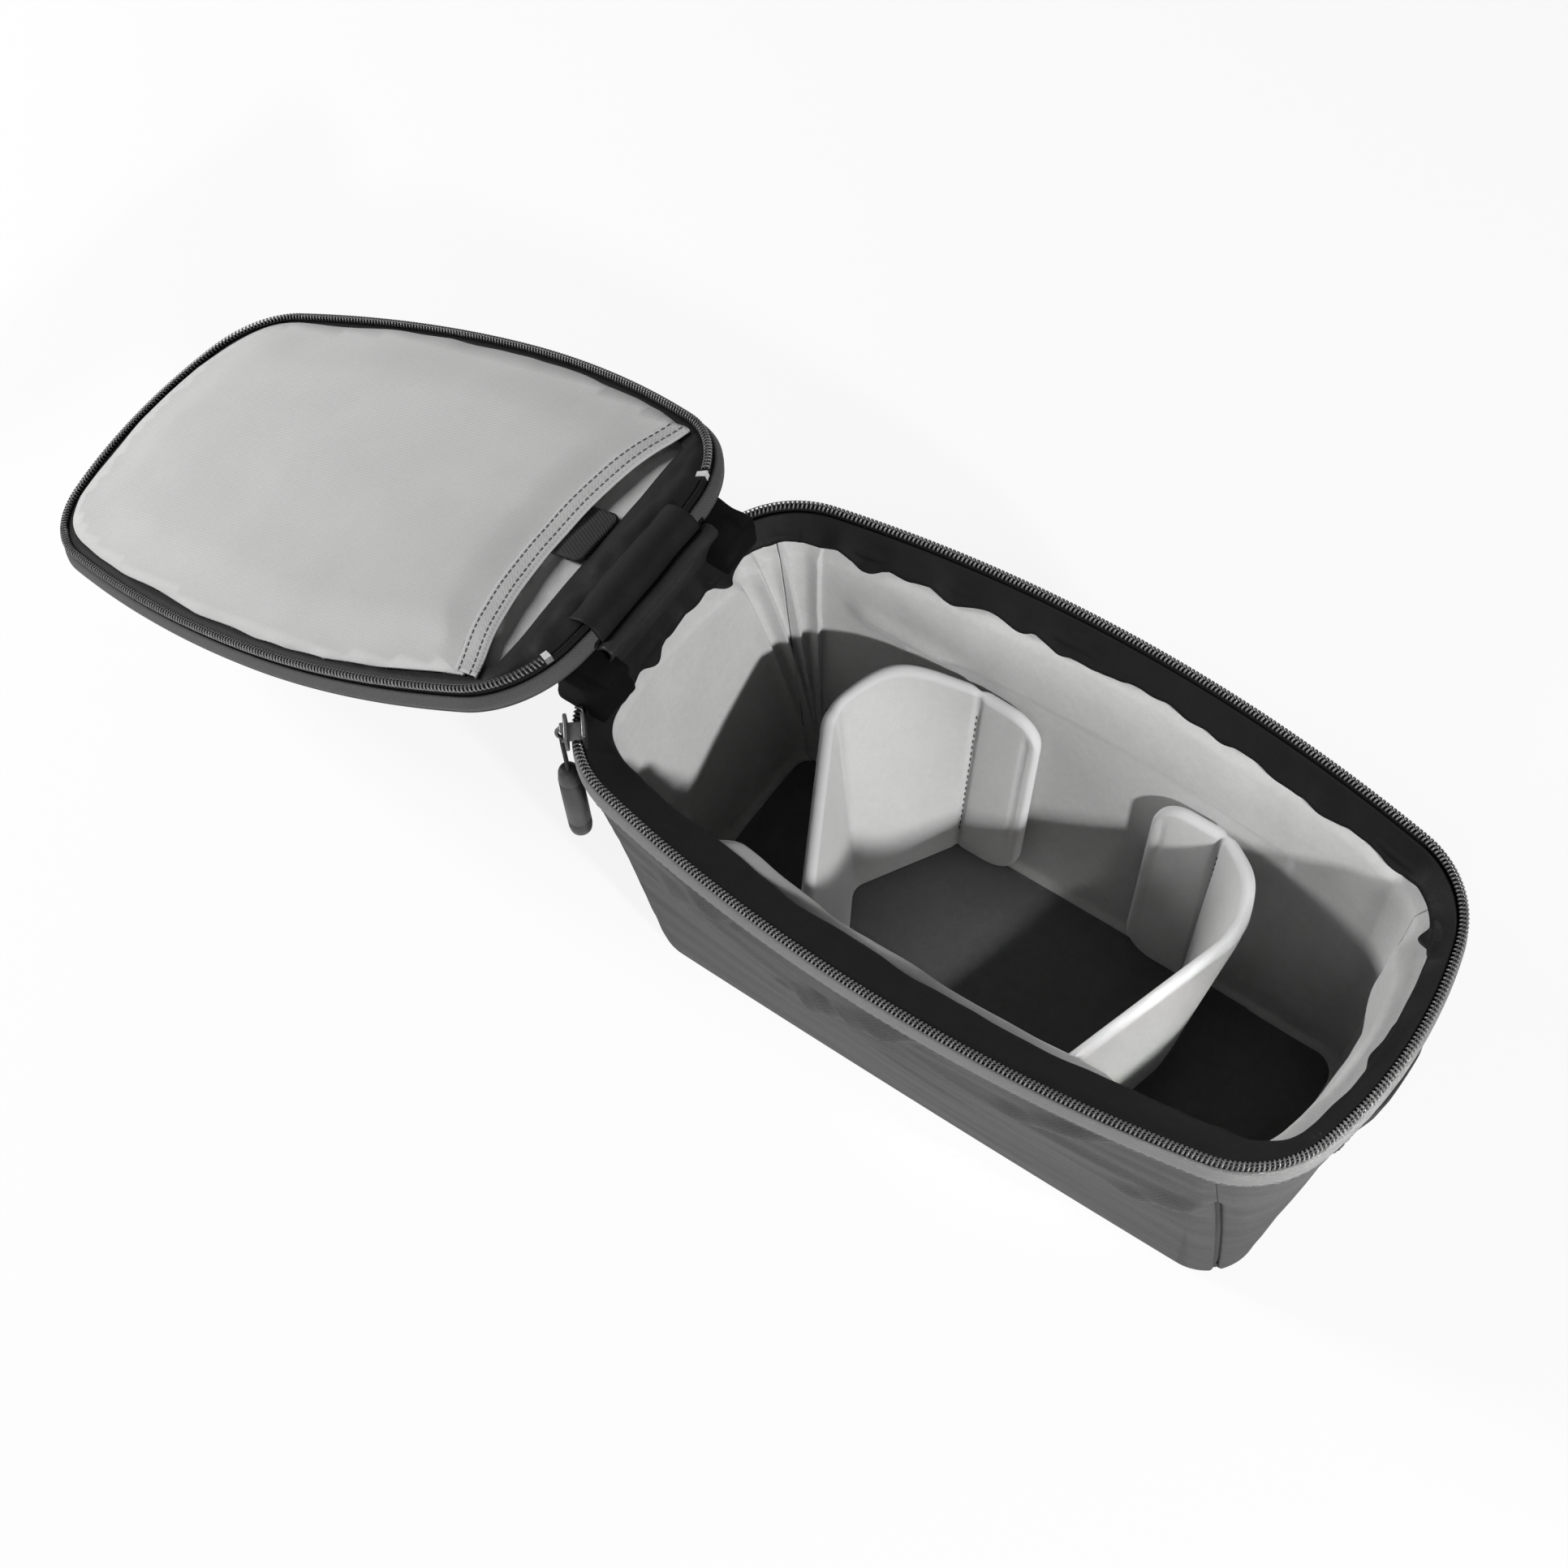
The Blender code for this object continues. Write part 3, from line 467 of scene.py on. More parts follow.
def woven_cloth(name, dark, light, thread_mm, roughness=0.8, relief_mm=0.05, streak=0.5):
    """Plain weave with long streaks along it, partly wear and partly painted crease shade and highlight; the
    threads follow the cloth.
    """
    paint = Paint(name, roughness, Sheen_Weight=0.06, Sheen_Roughness=0.6, Specular_IOR_Level=0.15)
    turn = math.pi / (thread_mm * MM)
    along, across, _ = paint.axes(paint.place((turn, turn, 1.0), follow_cloth=True))
    weave = along.sine() * across.sine()
    wear_and_crease_shade = paint.cloud((14.0, 90.0, 1.0), 3.0, follow_cloth=True)
    grain = paint.grain(900.0, 1.0)
    tone = weave * 0.12 + wear_and_crease_shade * streak + grain * 0.45 + (0.25 - streak / 2)
    paint.colour(tone, dark, light)
    paint.bump(weave * relief_mm + wear_and_crease_shade * (0.7 * streak) + grain * 0.06)
    return paint


def trapezoid(first, last, low, high):
    """Flat width, height and area of a panel between two stations and two heights."""
    stations = np.linspace(first, last, 200)
    edges = [wall(stations, 0.0, height) for height in (low, high)]
    lengths = [np.linalg.norm(np.diff(edge, axis=0), axis=1).sum() for edge in edges]
    slant = np.linalg.norm(edges[1][100] - edges[0][100])
    return (max(lengths), slant), sum(lengths) / 2 * slant


def seam_lean(side, height):
    """How far a panel's seams lean in from its stations; the end panels wrap the corners at the top."""
    return SEAM_LEAN_STATIONS * height / PANEL_TOP * (1 if side in ("back", "front") else -1)


def pulls(points):
    """Diagonal pulls of the cloth, which rise toward the band; each has a steep lower side."""
    total = np.zeros(points.shape[:-1])
    wander = PULL_WANDER * lumps(points, (28.0, 28.0, 28.0), 13.0)
    for start, end, depth in PULLS_MM:
        start, end = np.array(start) * MM, np.array(end) * MM
        along = (end - start) / np.linalg.norm(end - start)
        from_start = points[..., 0::2] - start
        share = (from_start @ along) / np.linalg.norm(end - start)
        away = (from_start @ np.array((-along[1], along[0])) + wander) / PULL_WIDTH
        ends = eased(share / 0.3) * eased((1.15 - share) / 0.35)
        total += depth * MM * ends * eased(1 - away / 1.6) * eased(1 + away / 0.45)
    return total


def outer_creases(points):
    """Long shallow creases, which stand outward and die away at the foot and at the band."""
    long_ways = lumps(points, (9.0, 13.0, 75.0)) + 0.6 * lumps(points + points[..., :1] * (0, 0, 0.12),
                                                             (17.0, 22.0, 150.0), 7.3)
    sharp = 1 - np.abs(lumps(points + points[..., :1] * (0, 0, 0.17), (7.0, 9.0, 42.0), 3.1)) * 3.2
    height = points[..., 2]
    fade = eased(height / CREASE_FOOT) * (0.35 + 0.65 * eased((height - CREASE_MIDDLE) / CREASE_RISE))
    fade = fade * (0.12 + 0.88 * eased((CREASE_HIGHEST - height) / CREASE_BAND_FADE))
    return fade * np.clip(0.5 + long_ways * 0.8 + 0.7 * np.clip(sharp, 0.0, 1.0), 0.0, 2.2)


def foot_tuck(height):
    """How far the rounded foot is drawn in at a height."""
    rest = np.clip(1 - height / FOOT_RADIUS, 0.0, 1.0)
    return FOOT_RADIUS * (1 - np.sqrt(1 - rest ** 2))

# The outer cloth's strong pale and dark streaks are partly wear and partly painted shade and highlight of its
# creases.
outer_cloth = woven_cloth("outer_cloth", grey(0.022), grey(0.078), 0.75, streak=0.9)
# Near-black cloth for the sheets behind the seam gaps: painted shade, not a real tape colour.
dart_shade_cloth = woven_cloth("dart_shade_cloth", grey(0.002), grey(0.006), 0.75)
panel_heights = np.concatenate([FOOT_RADIUS * (1 - np.cos(np.linspace(0.0, math.pi / 2, FOOT_ROWS))),
                                np.linspace(FOOT_RADIUS, PANEL_TOP, PANEL_ROWS + 1)[1:]])
for side, (first, last) in PANELS.items():
    middle = np.linspace(MIDDLE_FROM_STATION, last - first - MIDDLE_FROM_STATION,
                         int((last - first) * COLUMNS_PER_STATION))
    spread = np.concatenate([EDGE_STATIONS, middle, (last - first) - EDGE_STATIONS[::-1]])
    dart = eased((DART_HEIGHT - panel_heights) / DART_FADE)[:, None]
    gap = dart * DART_GAP_STATIONS
    lean = seam_lean(side, panel_heights[:, None])
    stations = first + lean + gap + spread / (last - first) * (last - first - 2 * gap - 2 * lean)
    near_edge = np.minimum(stations - first, last - stations) - gap - lean
    tuck = DART_DEPTH * dart * (1 - np.clip(near_edge / DART_WIDTH_STATIONS, 0.0, 1.0)) ** 2
    inset = -FABRIC / 2 + foot_tuck(panel_heights)[:, None] + tuck
    surface = wall(stations, inset, panel_heights[:, None])
    creases = CREASE[side] * outer_creases(surface) * eased(near_edge / SEAM_FADE_STATIONS + 0.4 * (1 - dart))
    if side in ("back", "front"):
        creases = CREASE_SHARE_WITH_PULLS * creases + pulls(surface) * eased(near_edge / SEAM_FADE_STATIONS)
    panel = cloth_strip(f"{side}_panel", wall(stations, inset - creases, panel_heights[:, None]))
    flat, area = trapezoid(first, last, 0.0, PANEL_TOP)
    cloth(panel, FABRIC, (outer_cloth, "tub", "outer_fabric"), [f"{side}_fabric"], flat, f"{side}_foam",
          area=area)
# A near-black sheet behind each corner seam's gap: painted shade for the dark inside of the gap.
shade_sheet_heights = np.linspace(DART_SHADE_LOW, DART_HEIGHT + DART_SHADE_PAST, 14)[:, None]
for side, (first, last) in PANELS.items():
    across = np.linspace(first - DART_SHADE_HALF_STATIONS, first + DART_SHADE_HALF_STATIONS, 12)
    places = wall(across + seam_lean(side, shade_sheet_heights), DART_SHADE_INSET + foot_tuck(shade_sheet_heights),
                  shade_sheet_heights)
    cloth(cloth_strip(f"{side}_dart_shade_sheet", places), DART_SHADE, (dart_shade_cloth, "tub", "outer_fabric"), [],
          (DART_HEIGHT + DART_SHADE_PAST, DART_SHADE_WIDTH), f"{side}_panel")

# Base panel
# A flat board covered in the same cloth as the walls, cut a little smaller than the base. It is sewn
# to the feet of the four panels.
BASE_FABRIC = 1.2 * MM
BASE_INSET = 2.0 * MM
BASE_LEVEL = 0.1 * MM
BASE_SEAM_RISE = 0.5 * MM
BASE_SEAM_WIDTH = 3.0 * MM
BASE_CUT_STEP = 5.0 * MM


def inside(loop, points):
    """Whether flat points lie inside a closed loop."""
    found = np.zeros(len(points), bool)
    for start, end in zip(loop, np.roll(loop, -1, axis=0)):
        spans = (start[1] > points[:, 1]) != (end[1] > points[:, 1])
        with np.errstate(divide="ignore", invalid="ignore"):
            cross = start[0] + (points[:, 1] - start[1]) * (end[0] - start[0]) / (end[1] - start[1])
        found ^= spans & (points[:, 0] < cross)
    return found


def edge_distance(loop, points):
    """Distance of flat points from the nearest point of a loop."""
    return np.min(np.linalg.norm(points[:, None] - loop[None], axis=-1), axis=1)


def cut_sheet(name, loop, spacing, place, under=False):
    """A flat cut of cloth inside a loop, laid in place by a function of its points and edge distances."""
    loop = np.asarray(loop, float)
    low = loop.min(0)
    high = loop.max(0)
    inner = []
    for row, level in enumerate(np.arange(low[1] + spacing / 2, high[1], spacing * math.sqrt(3) / 2)):
        starts = np.arange(low[0] + spacing * (0.5 + 0.5 * (row % 2)), high[0], spacing)
        inner += [(start, level) for start in starts]
    inner = np.array(inner)
    inner = inner[inside(loop, inner)]
    inner = inner[edge_distance(loop, inner) > 0.6 * spacing]
    flat = np.vstack([loop, inner])
    ring = [list(range(len(loop)))]
    points, _, faces, *_ = delaunay_2d_cdt([Vector(point) for point in flat], [], ring, 1, 1e-7)
    flat = np.array([tuple(point) for point in points])
    faces = [face[::-1] if under else face for face in faces]
    return mesh_piece(name, place(flat, edge_distance(loop, flat)), faces, flat)


def base_place(flat, edge):
    return np.column_stack([flat, BASE_LEVEL + BASE_SEAM_RISE * hump(edge, BASE_SEAM_WIDTH)])


base_loop = BASE_RING[0] - BASE_RING[1] * BASE_INSET
cloth(cut_sheet("base_panel", base_loop[::2], BASE_CUT_STEP, base_place, under=True), BASE_FABRIC,
      (outer_cloth, "tub", "outer_fabric"), ["base_fabric"], (2 * BASE_HALF_LENGTH, 2 * BASE_HALF_WIDTH),
      "base_foam", held="laid")

# Foam
# Closed-cell foam pads fill the walls, the base and the lid, hidden between the cloths. Each is its
# solid with softened edges.
FOAM_ROUNDING = 0.4 * MM
FOAM_MERGE = 0.01 * MM
FOAM_SHARP_ANGLE = math.radians(50)
foam_paint = Paint("foam_cells", 0.95)
cells = foam_paint.grain(700.0, 3.0)
foam_paint.colour(cells, grey(0.02), grey(0.05))
foam_paint.bump(cells * 0.15)
for node in ("back_foam", "hinge_end_foam", "front_foam", "free_end_foam", "base_foam", "lid_foam"):
    pad = bpy.data.objects.new(node.replace("foam", "pad"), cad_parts[node].data.copy())
    pad.data.materials.clear()
    bpy.context.scene.collection.objects.link(pad)
    shape = bmesh.new()
    shape.from_mesh(pad.data)
    bmesh.ops.remove_doubles(shape, verts=shape.verts, dist=FOAM_MERGE)
    shape.to_mesh(pad.data)
    shape.free()
    rounding = pad.modifiers.new("rounding", "BEVEL")
    rounding.width = FOAM_ROUNDING
    rounding.angle_limit = FOAM_SHARP_ANGLE
    apply_modifiers(pad)
    finish(pad, foam_paint, "lid" if node == "lid_foam" else "tub", "foam", node)

# Gusset band
# A paler folded band of woven cloth, sewn outside the rim over the panels' upper edge. It is softly
# rounded, with a row of grey stitches near its lower edge.
BAND_TOP = 138.0 * MM
BAND_DEPTH = 14.0 * MM
BAND_BACK = 0.7 * MM
BAND_OUT = 2.3 * MM
BAND_ROUND = 0.9 * MM
BAND_FLAT_SHARE = 1.25
BAND_SEAM_RISE = 2.2 * MM
BAND_SEAM_OUT = BAND_OUT + 0.12 * MM
STITCH_LENGTH = 2.4 * MM
STITCH_GAP = 0.9 * MM
THREAD_RADIUS = 0.22 * MM
STITCH_SIDES = 5
STITCH_PLACE_SHARES = np.array([0.0, 0.15, 0.5, 0.85, 1.0])
STITCH_LIFT_SHARES = np.array([-1.0, 0.25, 0.6, 0.25, -1.0])
STITCH_GIRTH_SHARES = np.array([0.6, 0.95, 1.0, 0.95, 0.6])
band_cloth = woven_cloth("band_cloth", grey(0.125), grey(0.19), 0.7, streak=0.35)


def band_rows(reach, low, high):
    """A rounded strip's section all round the rim: up its face, over its top and down its back."""
    back, out, span = BAND_BACK, BAND_OUT, high - low
    profile = [(-back, low + 0.3 * MM), (-back - 0.5 * MM, low), (-out + 0.3 * MM, low),
               (-out, low + 0.15 * span), (-out - BAND_ROUND * 0.7, low + 0.35 * span),
               (-out - BAND_ROUND, low + 0.55 * span), (-out - BAND_ROUND * 0.6, low + 0.78 * span),
               (-out, high - 0.08 * span), (-out + 0.5 * MM, high), (-back - 0.3 * MM, high),
               (-back, high - 0.4 * MM)]
    return np.array([reach(WHOLE_RING, inset, level) for inset, level in profile])


def at_lengths(places, lengths, line):
    """Points of a line at lengths from its start."""
    return np.column_stack([np.interp(places, lengths, line[:, axis]) for axis in range(3)])


def ring_quads(first, second, size):
    """Quads between two rings of points, which start at these numbers."""
    return [(first + turn, first + (turn + 1) % size, second + (turn + 1) % size, second + turn)
            for turn in range(size)]


def tube(points, radius, sides, guides=None):
    """A round thread through points; guides are directions across it that keep it from twisting."""
    points = np.asarray(points, float)
    count = len(points)
    ahead = np.roll(points, -1, axis=0) - np.roll(points, 1, axis=0)
    ahead[0] = points[1] - points[0]
    ahead[-1] = points[-1] - points[-2]
    ahead /= np.linalg.norm(ahead, axis=1)[:, None]
    guides = np.tile((0.0, 0.0, 1.0), (count, 1)) if guides is None else np.asarray(guides)
    first = np.cross(ahead, guides)
    first /= np.maximum(np.linalg.norm(first, axis=1), 1e-9)[:, None]
    second = np.cross(ahead, first)
    angles = (np.arange(sides) / sides * 2 * math.pi)[None, :, None]
    arms = first[:, None] * np.cos(angles) + second[:, None] * np.sin(angles)
    rings = points[:, None] + np.broadcast_to(radius, count)[:, None, None] * arms
    faces = []
    for step in range(count - 1):
        faces += ring_quads(step * sides, (step + 1) * sides, sides)
    faces.append(tuple(range(sides))[::-1])
    faces.append(tuple((count - 1) * sides + turn for turn in range(sides)))
    return rings.reshape(-1, 3), faces


def stitch_row(name, line, outward, closed=False, length=STITCH_LENGTH, gap=STITCH_GAP, radius=THREAD_RADIUS):
    """Short raised threads laid end to end along a line on a face."""
    if closed:
        line = np.vstack([line, line[:1]])
        outward = np.vstack([outward, outward[:1]])
    lengths = run(line)
    count = max(2, int(round(lengths[-1] / (length + gap))))
    points = []
    faces = []
    for start in np.linspace(0.0, lengths[-1], count + 1)[:-1]:
        spots = start + STITCH_PLACE_SHARES * length
        lift = at_lengths(spots, lengths, outward)
        centre = at_lengths(spots, lengths, line) + lift * (STITCH_LIFT_SHARES * radius)[:, None]
        rings, sides = tube(centre, radius * STITCH_GIRTH_SHARES, STITCH_SIDES, lift)
        faces += [tuple(corner + len(points) for corner in face) for face in sides]
        points.extend(rings)
    return mesh_piece(name, points, faces)


def thread_paint(name, shade):
    """Polyester sewing thread."""
    paint = Paint(name, 0.55)
    ply = paint.grain(2500.0, 1.0)
    paint.colour(ply, grey(shade * 0.75), grey(shade * 1.25))
    paint.bump(ply * 0.03)
    return paint


def upright(flat):
    """Flat directions as directions in space."""
    return np.column_stack([flat, np.zeros(len(flat))])


rim_length = run(wall(WHOLE_RING, 0.0, BAND_TOP))[-1]
band_bottom = BAND_TOP - BAND_DEPTH
cloth(cloth_strip("gusset_band", band_rows(wall, band_bottom, BAND_TOP), closed=True, rounded=True), 0.0,
      (band_cloth, "tub", "band_fabric"), ["rim_band"], (rim_length, 2 * BAND_DEPTH), "zip_tape_band",
      area=rim_length * BAND_DEPTH * BAND_FLAT_SHARE)
band_stitches = stitch_row("band_stitches", wall(WHOLE_RING, -BAND_SEAM_OUT, band_bottom + BAND_SEAM_RISE),
                           upright(on_ring(RIM_RING, WHOLE_RING)[1]), closed=True)
finish(band_stitches, thread_paint("grey_thread", 0.11), "tub", "band_fabric")

# Zip tape
# A close-ribbed woven tape that carries the coil. Its lower part is caught in the seam between the
# band and the collar.
TAPE_TOP = 140.2 * MM
TAPE_BOTTOM = 130.0 * MM
TAPE = 0.8 * MM


def webbing(name, shade, rib_mm, roughness=0.75, relief_mm=0.12):
    """Close-ribbed black webbing; the ribs run across the strip."""
    paint = Paint(name, roughness, Specular_IOR_Level=0.08)
    turn = 2 * math.pi / (rib_mm * MM)
    along, across, _ = paint.axes(paint.place((turn, turn * 0.5, 1.0), follow_cloth=True))
    herring = (along + across).sine() * 0.5 + (along - across).sine() * 0.5
    fuzz = paint.grain(600.0)
    paint.colour(herring * 0.25 + fuzz * 0.5 + 0.25, grey(shade * 0.7), grey(shade * 1.6))
    paint.bump(herring * relief_mm + fuzz * 0.1)
    return paint


tape_cloth = webbing("zip_tape_cloth", 0.008, 0.9)
tape_rows = [wall(WHOLE_RING, -TAPE / 2, level) for level in np.linspace(TAPE_BOTTOM, TAPE_TOP, 5)]
cloth(cloth_strip("zip_tape_band", tape_rows, closed=True), TAPE, (tape_cloth, "tub", "black_fabric"),
      ["zip_tape"], (rim_length, TAPE_TOP - TAPE_BOTTOM), "gusset_band")

# Zip coil
# A nylon filament wound round the edge of the tape, with a core cord and two rows of thread that sew
# it down.
COIL_PITCH = 1.55 * MM
COIL_HALF_WIDTH = 1.32 * MM
COIL_HALF_HEIGHT = 1.0 * MM
COIL_STEPS = 8
COIL_CENTRE = 140.9 * MM
FILAMENT_RADIUS = 0.37 * MM
FILAMENT_SIDES = 5
CORE_RADIUS = 0.55 * MM
CORE_STEP = 2.0 * MM
CORE_SIDES = 6
COIL_THREAD_INSET = 0.5 * MM
COIL_THREAD_CLEAR = 0.28 * MM
COIL_STITCH = {"length": 1.2 * MM, "gap": 0.35 * MM, "radius": 0.16 * MM}
CHAIN_END_STATIONS = 1.5
CHAIN_STATIONS = np.linspace(2 * QUARTER + END_STEPS + CHAIN_END_STATIONS,
                             6 * QUARTER - END_STEPS - CHAIN_END_STATIONS, 45 * STEPS)
# The coil's grey is lighter than black nylon: a painted highlight along the coil.
coil_paint = Paint("coil_nylon", 0.32, Coat_Weight=0.15)
coil_paint.colour(coil_paint.grain(420.0), grey(0.045), grey(0.240))
black_thread = thread_paint("black_thread", 0.05)


def wound_coil(name, line, sideways, upward):
    """A filament wound in an oval along a line."""
    lengths = run(line)
    count = int(lengths[-1] / COIL_PITCH) * COIL_STEPS
    turn = np.arange(count) / COIL_STEPS
    middle, side, up = [at_lengths(turn * COIL_PITCH, lengths, part) for part in (line, sideways, upward)]
    turn = turn * 2 * math.pi
    arm = side * (COIL_HALF_WIDTH * np.cos(turn))[:, None] + up * (COIL_HALF_HEIGHT * np.sin(turn))[:, None]
    guides = arm / np.linalg.norm(arm, axis=1)[:, None]
    return mesh_piece(name, *tube(middle + arm, FILAMENT_RADIUS, FILAMENT_SIDES, guides))


def zip_half(name, thread_name, node, body, reach, centre, outward, upward, up_sign):
    """One half's coil, core and threads; reach gives its places by station, inset and height."""
    line = reach(CHAIN_STATIONS, 0.0, centre)
    finish(wound_coil(f"{name}_coil", line, outward, upward), coil_paint, body, "zip_coil", node)
    lengths = run(line)
    even = np.linspace(0.0, lengths[-1], int(round(lengths[-1] / CORE_STEP)) + 1)
    core = mesh_piece(f"{name}_core", *tube(at_lengths(even, lengths, line), CORE_RADIUS, CORE_SIDES))
    finish(core, tape_cloth, body, "black_fabric")
    level = centre + up_sign * (COIL_HALF_HEIGHT + COIL_THREAD_CLEAR)
    for number, inset in enumerate((-COIL_THREAD_INSET, COIL_THREAD_INSET)):
        places = reach(CHAIN_STATIONS, inset, level)
        row = stitch_row(f"{thread_name}_{number}", places, upward, **COIL_STITCH)
        finish(row, black_thread, body, "black_fabric")


zip_half("zip", "coil_thread", "zip_chain", "tub", wall, COIL_CENTRE,
         upright(on_ring(RIM_RING, CHAIN_STATIONS)[1]), np.tile((0.0, 0.0, 1.0), (len(CHAIN_STATIONS), 1)), 1)

# Wall linings
# Light grey brushed velour over the foam. It is pleated at the hinge end's back corner, sags in a
# crease beside it, and rolls over the top of the front pad, under the collar.
LINING = 0.8 * MM
LINING_FACE = 6.9 * MM
LINING_TOP = 131.0 * MM
FLOOR_TOP = 8.1 * MM
LINING_FOOT_ROWS = np.array([-0.6, 0.0, 0.7, 1.5, 2.6, 4.5]) * MM
LINING_FIRST_ROW = 15.0 * MM
LINING_ROWS = 78
LINING_COLUMNS = {"back": 14, "hinge_end": 14, "front": 8, "free_end": 14}
LINING_GAP_STATIONS = 0.03
STATION_WIDTH = 8.2 * MM
PUFF_LEVEL, PUFF_FADE = 88.0 * MM, 16.0 * MM
PLEATS_MM = ((24.3, 22.4, 2.1), (22.6, 20.9, 3.3), (20.6, 19.9, 2.9), (18.3, 18.6, 2.3))
PLEAT_MIDDLE = 70.0 * MM
PLEAT_WIDTH = 10.0 * MM
PLEAT_LIP = 0.9 * MM
PLEAT_FOOT, PLEAT_FADE = 20.0 * MM, 60.0 * MM
FLUTE_WIDTH = 4.4 * MM
FLUTE_DEPTH = 2.2 * MM
FLUTE_Y, FLUTE_Y_FADE = 5.0 * MM, 35.0 * MM
FLUTE_LEVEL, FLUTE_FADE = 55.0 * MM, 40.0 * MM
LOOSE_DEPTH = 5.0 * MM
LOOSE_LEVEL, LOOSE_FADE = 40.0 * MM, 60.0 * MM
SAG_DEPTH = 2.6 * MM
SAG_HALF_HEIGHT = 4.0 * MM
SAG_PLACE = (-80.0 * MM, 100.0 * MM)
SAG_SLOPE = 0.18
SAG_START_X, SAG_START_FADE = -106.0 * MM, 14.0 * MM
SAG_END_X, SAG_END_FADE = -52.0 * MM, 18.0 * MM
WING_LEVEL = 97.0 * MM
WING_Y = 25.0 * MM
WING_X = 78.0 * MM
WING_PRESSED_SHARE = 0.75
ROLL_START_X, ROLL_END_X, ROLL_FADE = -98.0 * MM, 96.0 * MM, 24.0 * MM
ROLL_LEVEL, ROLL_BELOW, ROLL_ABOVE = 117.0 * MM, 9.0 * MM, 6.5 * MM
ROLL_THICK, ROLL_SWELL, ROLL_WAVE = 12.6 * MM, 1.6 * MM, 0.8 * MM
ROLL_SWELL_X, ROLL_SWELL_WIDTH = -62.0 * MM, 24.0 * MM
FOOT_CURL = 2.6 * MM
FLOOR_SEAM_LEVEL, FLOOR_SEAM_WIDTH, FLOOR_SEAM_DEPTH = 17.0 * MM, 0.8 * MM, 0.5 * MM
PAST_FOAM_LEVEL, PAST_FOAM_FADE, PAST_FOAM_OUT = 123.5 * MM, 6.0 * MM, 3.0 * MM


def velour(name, dark, light, nap_mm=0.05):
    """Brushed velour with a fine nap, clouds where it is rubbed and a soft sheen."""
    paint = Paint(name, 0.95, Sheen_Weight=0.25, Sheen_Roughness=0.45)
    nap, rubbed, brushed = paint.grain(1500.0), paint.grain(38.0, 3.0), paint.grain(320.0)
    paint.colour(nap * 0.6 + rubbed * 0.55 + brushed * 0.45 - 0.3, dark, light)
    paint.bump(nap * nap_mm + rubbed * 0.35)
    return paint


def side_weights(station):
    """Shares of the front, free end, back and hinge end at stations."""
    outward = on_ring(RIM_RING, station)[1]
    front = np.clip(-outward[..., 1], 0.0, 1.0) ** 2
    back = np.clip(outward[..., 1], 0.0, 1.0) ** 2
    free = np.clip(outward[..., 0], 0.0, 1.0) ** 2
    hinge = np.clip(-outward[..., 0], 0.0, 1.0) ** 2
    return front, free, back, hinge


def lining_bulge(station, height, points):
    """How far the lining stands in from its flat place."""
    x, y = points[..., 0], points[..., 1]
    front, free, back, _ = side_weights(station)
    soft = 0.5 + lumps(points, (22.0, 22.0, 18.0), 1.7) + 0.4 * lumps(points, (60.0, 60.0, 45.0), 9.0)
    bulge = MM * np.clip(soft, 0.0, 1.2) * (0.7 + 1.3 * eased((height - PUFF_LEVEL) / PUFF_FADE))
    share = (LINING_TOP - height) / (LINING_TOP - PLEAT_MIDDLE)
    fade = 0.3 + 0.7 * eased((height - PLEAT_FOOT) / PLEAT_FADE)
    for high_station, low_station, depth in PLEATS_MM:
        middle = high_station + (low_station - high_station) * share
        away = (station - middle) * STATION_WIDTH
        rise = np.where(away > 0, eased(1 - away / PLEAT_WIDTH), 0.0)
        bulge = bulge + depth * MM * rise * eased(1 + (away - PLEAT_LIP) / PLEAT_LIP) * fade
    flute = np.sin(y / FLUTE_WIDTH + 2.0 * lumps(points, (9.0, 9.0, 9.0), 4.0))
    corner = free * eased((y - FLUTE_Y) / FLUTE_Y_FADE) * eased((height - FLUTE_LEVEL) / FLUTE_FADE)
    loose = free * eased((height - LOOSE_LEVEL) / LOOSE_FADE) * LOOSE_DEPTH
    sag = hump((height - SAG_PLACE[1]) + (x - SAG_PLACE[0]) * SAG_SLOPE, SAG_HALF_HEIGHT) * back
    sag = sag * eased((x - SAG_START_X) / SAG_START_FADE) * eased((SAG_END_X - x) / SAG_END_FADE)
    pressed = (height < WING_LEVEL) & (np.abs(y) > WING_Y) & (np.abs(x) < WING_X)
    bulge = bulge + FLUTE_DEPTH * corner * (1 + flute) + loose + SAG_DEPTH * sag
    bulge = bulge * (1 - WING_PRESSED_SHARE * pressed)
    reach = eased((x - ROLL_START_X) / ROLL_FADE) * eased((ROLL_END_X - x) / ROLL_FADE)
    thick = ROLL_THICK + ROLL_SWELL * hump(x - ROLL_SWELL_X, ROLL_SWELL_WIDTH)
    thick = thick + ROLL_WAVE * lumps(points, (26.0, 1.0, 1.0), 6.0)
    roll = thick * hump(np.minimum(height - ROLL_LEVEL, 0.0), ROLL_BELOW)
    roll = roll * hump(np.maximum(height - ROLL_LEVEL, 0.0), ROLL_ABOVE)
    foot = FOOT_CURL * (1 - np.clip((height - FLOOR_TOP) / FOOT_CURL, 0.0, 1.0)) ** 2
    seam = -FLOOR_SEAM_DEPTH * hump(height - FLOOR_SEAM_LEVEL, FLOOR_SEAM_WIDTH)
    past_foam = eased((height - PAST_FOAM_LEVEL) / PAST_FOAM_FADE)
    bulge = bulge + front * reach * roll + foot + seam
    return bulge * (1 - 0.8 * past_foam) - PAST_FOAM_OUT * past_foam


